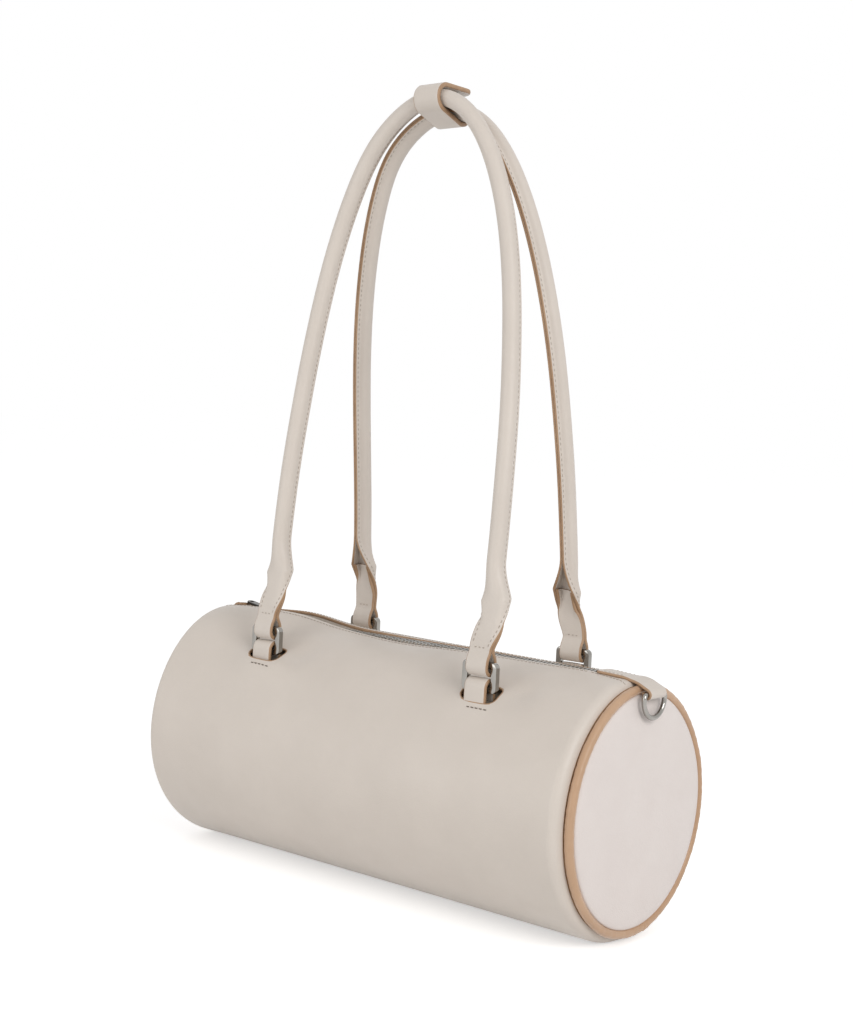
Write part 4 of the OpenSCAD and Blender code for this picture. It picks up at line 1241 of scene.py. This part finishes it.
def strap_ring_at(v, sy):
    """Ring round the handle's leather at v."""
    line, normal, t = section_at(v, sy)
    return strap_ring(v, sy, line, normal, t)


def tail_ring_at(v, sy):
    """Ring round the tab's tail, which lies nested inside the strip and narrows where that rolls up."""
    line, normal, t = section_at(v, sy)
    line = line - normal * (t + TAIL_GAP)
    reach = 1 - TAIL_NARROWING * float(ease((open_share(v, sy) - NARROW_FROM) / NARROW_OVER))
    if reach < 1:
        s = np.linspace(-reach, reach, ACROSS) * (ACROSS - 1) / 2 + (ACROSS - 1) / 2
        line, normal = sample(s, PLACES, line), unit(sample(s, PLACES, normal))
    return strap_ring(v, sy, line, -normal, t)


def strap_ring(v, sy, line, normal, t):
    """Ring round a section that is given by its middle line in the plane of the strap at v."""
    along = unit(np.gradient(line, axis=0))
    c, fin, side = strap_frame(v, sy)

    def place(q):
        return q[..., :1] * fin + q[..., 1:] * side

    return strip_ring(c + place(line), place(normal), place(-along[0]), place(along[-1]), t)


def loop_rings(sx, sy):
    """Rings of the flat tab, from its stitched tail round the ring's upper bar to the strap's front."""
    gap = TAB_T / 2
    centre = np.array([0.0, PIVOT_TOP_Z - LOOP_SLACK])
    front = [(LOOP_R - LOOP_SHOULDER_IN, PIVOT_TOP_Z + LOOP_SHOULDER_UP), (gap, START_Z - LOOP_FLAT_H),
             (gap, START_Z)]
    back = [(-y, z) for y, z in front[::-1]]
    line = np.concatenate([back, arc(centre, LOOP_R, 180, 360, 26), front])
    line = rounded_line(line, step=0.6, passes=7, spacing=0.9)
    points = at_x(sx * FITTING_X, (line + [FITTING_Y, 0]) * [sy, 1])
    across_way = strap_frame(0.0 if sx < 0 else 2.0, sy)[2]
    along = unit(np.gradient(points, axis=0))
    normal = unit(np.cross(along, across_way)) * -sx
    shares = across_way * FLAT[:, 1:]
    return [strip_ring(c + shares, np.tile(n, (ACROSS, 1)), -across_way, across_way, TAB_T)
            for c, n in zip(points, normal)]


def strap_places(step, low, high):
    """Values of v that lie a real step apart along the handle."""
    vs = np.linspace(low, high, 1600)
    along = lengths(np.array([strap_line(v, -1) for v in vs]))
    return np.interp(steps(0, along[-1], step), along, vs)


def v_at_height(h):
    """v at a height above the start of the strap, on the left side."""
    vs = np.linspace(0, 0.4, 400)
    return float(np.interp(h, [rise_at(v, -1) for v in vs], vs))


def make_handle(sy, side_name):
    """One strip of leather with its two tabs, its cord and its seams."""
    fine_step, step, core_step, seam_step, tail_rings = 1.4, 3.2, 4.0, 1.0, 18
    low = v_at_height(OPEN_TO + FINE_PAST)
    high = 2 - low
    vs = np.unique(np.concatenate([strap_places(fine_step, 0.0, low), strap_places(step, low, high),
                                   strap_places(fine_step, high, 2.0)]))
    main = [strap_ring_at(v, sy) for v in vs]
    tail_v = [v_at_height(h) for h in np.linspace(TAIL_H, 0, tail_rings)]
    left = [tail_ring_at(v, sy) for v in tail_v][:-1] + loop_rings(-1, sy)[:-1]
    right = [tail_ring_at(2 - v, sy) for v in tail_v][:-1] + loop_rings(1, sy)[:-1]
    strip = strip_mesh(np.array(left + main + right[::-1]), ACROSS)
    piece("handle_leather_" + side_name, strip, STRIP_LOOK, "handles", "handle_" + side_name, sharp=50)

    rings = []
    for v in strap_places(core_step, v_at_height(OPEN_TO), 2 - v_at_height(OPEN_TO)):
        rings.append(circle(*strap_frame(v, sy), STRAP_R - STRAP_T - CORE_GAP, 15))
    piece("handle_core_" + side_name, closed_tube(np.array(rings)), CORD_LOOK, "handles",
          "handle_cord_" + side_name)

    seam_start, tab_inset, roll_inset = 2.5, 2.0 / (TAB_W / 2), 1.75 / 17.5
    parts = []
    seam_vs = strap_places(seam_step, v_at_height(seam_start), 2 - v_at_height(seam_start))
    for flip in (1, -1):
        line, up = [], []
        for v in seam_vs:
            mid, normal, t = section_at(v, sy)
            inset = mix(tab_inset, roll_inset, open_share(v, sy)) * (ACROSS - 1) / 2
            k = inset if flip < 0 else ACROSS - 1 - inset
            at, n = sample(k, PLACES, mid), sample(k, PLACES, normal)
            c, fin, side = strap_frame(v, sy)
            out = fin * n[0] + side * n[1]
            line.append(c + fin * at[0] + side * at[1] + out * t / 2)
            up.append(out)
        parts += stitches(line, up, HANDLE_SEAM)
    row_half, row_z, count = 5.2, START_Z + 1.6, 12
    for sx in (-1, 1):
        xs = sx * FITTING_X + np.linspace(-row_half, row_half, count)
        for out in (1, -1):
            y = sy * (FITTING_Y + out * TAB_T)
            row = np.stack([xs, np.full(count, y), np.full(count, row_z)], axis=1)
            parts += stitches(row, np.tile(Y * sy * out, (count, 1)), LOOP_SEAM)
    piece("handle_stitches_" + side_name, join(parts), STITCH_LOOK, "handles")


# Keeper: the turn at which the flap ends and the band begins, and how far the band's end passes the snap
KEEPER_SPLIT = 116
BAND_PAST_SNAP = 4.8
# The ends: how far back each starts to narrow, in halves of the band, how much the blunt one narrows, and
# the least square of half a width
ROUND_END, BLUNT_END, BLUNT_SHARE, LEAST_SQUARE = 0.8, 0.35, 0.6, 1.5


def make_keeper():
    """The band round both handles with its flap, and the snap's four metal parts."""
    front = np.array([FOLD_Y, FOLD_Z - KEEPER_R])
    back = np.array([-FOLD_Y, FOLD_Z - KEEPER_R - 2 * STRAP_STEP])
    lean = math.degrees(math.atan2(back[1] - front[1], back[0] - front[0]))
    snap_y = sum(node_box("snap_cap"))[1] / 2
    flap_line = np.concatenate([[(FOLD_Y + FLAP_L, FOLD_Z), (FOLD_Y + 1, FOLD_Z)],
                                arc(front, KEEPER_R, 90, KEEPER_SPLIT, 8)])
    band_line = np.concatenate([arc(front, KEEPER_R, KEEPER_SPLIT, 270 + lean, 40),
                                arc(back, KEEPER_R, 270 + lean, 450, 46),
                                [(snap_y - BAND_PAST_SNAP, back[1] + KEEPER_R)]])

    def strip_of(line, round_start):
        line = resample(line, step=0.7)
        from_start = lengths(line)
        half = BAND_W / 2
        if round_start:
            back_off = np.clip(half * ROUND_END - from_start, 0, half * ROUND_END) / ROUND_END
        else:
            to_end = from_start[-1] - from_start
            back_off = np.clip(half * BLUNT_END - to_end, 0, half * BLUNT_END) / BLUNT_END * BLUNT_SHARE
        width = 2 * np.sqrt(np.clip(half ** 2 - back_off ** 2, LEAST_SQUARE, None))
        return flat_strip(at_x(0, line), X, width, KEEPER_T + KEEPER_PLUMP, across=13)

    flap = piece("keeper_flap_leather", strip_of(flap_line, True), STRIP_LOOK, None, "keeper_flap")
    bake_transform(flap)
    piece("keeper_band_leather", strip_of(band_line, False), STRIP_LOOK, "handles", "keeper_band")

    for name, body in (("snap_cap", "flap"), ("snap_socket", "flap"), ("snap_stud", "handles"),
                       ("snap_eyelet", "handles")):
        low, high = node_box(name)
        shape = snap_shape(name, (high[0] - low[0]) / 2, high[2] - low[2])
        solid = revolve(shape, np.array([0, snap_y, low[2]]))
        piece(name + "_metal", solid, DARK_LOOK, body, name, sharp=35)


def snap_shape(name, r, h):
    """Profile of a part of the snap, as radius and height, from the top of its axis to the foot of it."""
    post = 1.5
    if name == "snap_cap":
        rim = h - 1.2
        return [(0, h), (r * 0.35, h - 0.05), (r * 0.7, h - 0.25), (r * 0.9, h - 0.6), (r, rim + 0.35),
                (r, rim + 0.1), (r - 0.2, rim), (post, rim), (post, 0), (0, 0)]
    if name == "snap_stud":
        return [(0, h), (post * 0.8, h), (post, h - 0.3), (post, KEEPER_T + 0.7), (r - 0.2, KEEPER_T + 0.7),
                (r, KEEPER_T + 0.5), (r, KEEPER_T + 0.1), (post, KEEPER_T), (post, 0), (0, 0)]
    ease_h = 0.25 * min(1, h)
    return [(0, h), (r - 0.3, h), (r, h - ease_h), (r, ease_h), (r - 0.3, 0), (0, 0)]


# Stitches on the body: beside the zip, where the rows spread round each end tab, and beside each window
ZIP_SEAM_OUT, ZIP_SEAM_IN, ZIP_SEAM_STEP = 3.0, 14, 2
END_SEAM_IN, END_SEAM_SPREAD, END_SEAM_POWER, END_SEAM_STOP, END_SEAM_POINTS = 13, 4.6, 1.4, 1.5, 16
WINDOW_SEAM_OUT, WINDOW_SEAM_FROM, WINDOW_SEAM_TO, WINDOW_SEAM_POINTS = 2.8, -3.4, 12.6, 12


def make_body_stitches():
    """The seams that hold the zip and the ring tabs."""
    parts = []
    for sy in (-1, 1):
        turn = turn_of(sy * (SLOT_HALF_Y + ZIP_SEAM_OUT))
        xs = steps(-SLOT_HALF_X + ZIP_SEAM_IN, SLOT_HALF_X - ZIP_SEAM_IN, ZIP_SEAM_STEP)
        parts += leather_seam(xs, np.full(len(xs), turn), FINE_SEAM)
        for sx in (-1, 1):
            xs = sx * np.linspace(SLOT_HALF_X - END_SEAM_IN, HALF_L - END_SEAM_STOP, END_SEAM_POINTS)
            spread = sy * END_SEAM_SPREAD * np.linspace(0, 1, END_SEAM_POINTS) ** END_SEAM_POWER
            parts += leather_seam(xs, turn + spread, FINE_SEAM)
    piece("zip_edge_stitches", join(parts), STITCH_LOOK, "bag")
    parts = []
    for sx, sy in FITTINGS:
        xs = sx * FITTING_X + np.linspace(WINDOW_SEAM_FROM, WINDOW_SEAM_TO, WINDOW_SEAM_POINTS)
        turns = np.full(len(xs), turn_of(sy * (FITTING_Y + WINDOW_HALF_Y + WINDOW_SEAM_OUT)))
        parts += leather_seam(xs, turns, WINDOW_SEAM)
    # The window seams take the thread coloured dark as painted shade of their stitch holes
    piece("window_stitches", join(parts), WINDOW_STITCH_LOOK, "bag")


# Stage, light and camera: the world's light on things, the floor's own tone, and each lamp's place, size
# and power. Lengths here are in metres
AMBIENT = 0.58
FLOOR_TONE = 0.9
FLOOR_REACH = 30.0
FLOOR_Z = -0.0005
LAMPS = (("key", (2.3, -0.8, 1.5), 1.4, 28), ("front", (-0.7, -2.1, 0.32), 1.6, 12.5))
LAMP_AIM = (0, 0, 0.15)
WHITE = (1, 1, 1, 1)


def seen_directly(tree):
    """1 for rays from the camera, or by way of metal or glass, and 0 for light that falls on things."""
    path = add_node(tree, "ShaderNodeLightPath").outputs
    found = path["Is Camera Ray"]
    for also in ("Is Glossy Ray", "Is Transmission Ray"):
        found = add_node(tree, "ShaderNodeMath", {0: found, 1: path[also]}, operation="MAXIMUM").outputs[0]
    return found


def make_stage():
    """A floor and a world that look white and light the bag plainly, and two soft lamps."""
    corners = [(-1, -1), (1, -1), (1, 1), (-1, 1)]
    mesh = bpy.data.meshes.new("floor")
    mesh.from_pydata([(x * FLOOR_REACH, y * FLOOR_REACH, FLOOR_Z) for x, y in corners], [], [(0, 1, 2, 3)])
    link(bpy.data.objects.new("floor", mesh))
    material = bpy.data.materials.new("floor")
    material.use_nodes = True
    tree = material.node_tree
    tree.nodes.clear()
    paint = add_node(tree, "ShaderNodeBsdfDiffuse", {"Color": (FLOOR_TONE, FLOOR_TONE, FLOOR_TONE, 1)})
    share = add_node(tree, "ShaderNodeMath", {0: seen_directly(tree), 1: 1 - FLOOR_TONE * AMBIENT},
                     operation="MULTIPLY")
    glow = add_node(tree, "ShaderNodeEmission", {"Color": WHITE, "Strength": share.outputs[0]})
    both = add_node(tree, "ShaderNodeAddShader", {0: paint.outputs[0], 1: glow.outputs[0]})
    add_node(tree, "ShaderNodeOutputMaterial", {0: both.outputs[0]})
    mesh.materials.append(material)

    world = bpy.data.worlds.new("studio")
    bpy.context.scene.world = world
    world.use_nodes = True
    tree = world.node_tree
    inputs = {"To Min": AMBIENT, "To Max": 1.0, "Value": seen_directly(tree)}
    level = add_node(tree, "ShaderNodeMapRange", inputs)
    sky = tree.nodes["Background"]
    feed(tree, sky.inputs["Strength"], level.outputs["Result"])
    feed(tree, sky.inputs["Color"], WHITE)

    for name, place, size, power in LAMPS:
        data = bpy.data.lights.new(name, "AREA")
        data.shape = "DISK"
        data.size = size
        data.energy = power
        lamp = link(bpy.data.objects.new(name, data))
        lamp.location = place
        lamp.rotation_mode = "QUATERNION"
        lamp.rotation_quaternion = (Vector(LAMP_AIM) - lamp.location).to_track_quat("-Z", "Y")
    bpy.context.scene.view_settings.view_transform = "Standard"


def make_camera():
    """The camera fitted to the photograph: its turn, tilt and roll, distance, shifts and focal length."""
    turn, tilt, roll = (math.radians(a) for a in (39.49, 3.23, 2.68))
    distance, shift_x, shift_z = 1062.9, 13.16, 245.9
    focal_px, frame_h, sensor = 1573.1, 1024, 36
    back = np.array([math.sin(turn) * math.cos(tilt), -math.cos(turn) * math.cos(tilt), math.sin(tilt)])
    level = np.array([math.cos(turn), math.sin(turn), 0])
    upright = np.cross(back, level)
    right = math.cos(roll) * level + math.sin(roll) * upright
    up = -math.sin(roll) * level + math.cos(roll) * upright
    place = back * distance + right * shift_x + up * shift_z
    data = bpy.data.cameras.new("camera")
    data.sensor_width = sensor
    data.lens = focal_px / frame_h * sensor
    data.clip_start, data.clip_end = 0.05, 100  # metres
    camera = link(bpy.data.objects.new("camera", data))
    camera.matrix_world = Matrix([
        [right[i], up[i], back[i], place[i] * MM] for i in range(3)] + [[0, 0, 0, 1]])
    bpy.context.scene.camera = camera


make_camera()
make_stage()
make_body_leather()
make_lining()
make_zip()
make_slider()
for side, word in SIDES:
    make_end(side, word)
    make_end_tab(side, word)
    make_d_ring(side, word)
for side_x, side_y in FITTINGS:
    corner = ("front" if side_y < 0 else "back") + ("_left" if side_x < 0 else "_right")
    make_ring(side_x, side_y, corner)
    make_anchor_tab(side_x, side_y, corner)
make_handle(-1, "front")
make_handle(1, "back")
make_keeper()
make_body_stitches()
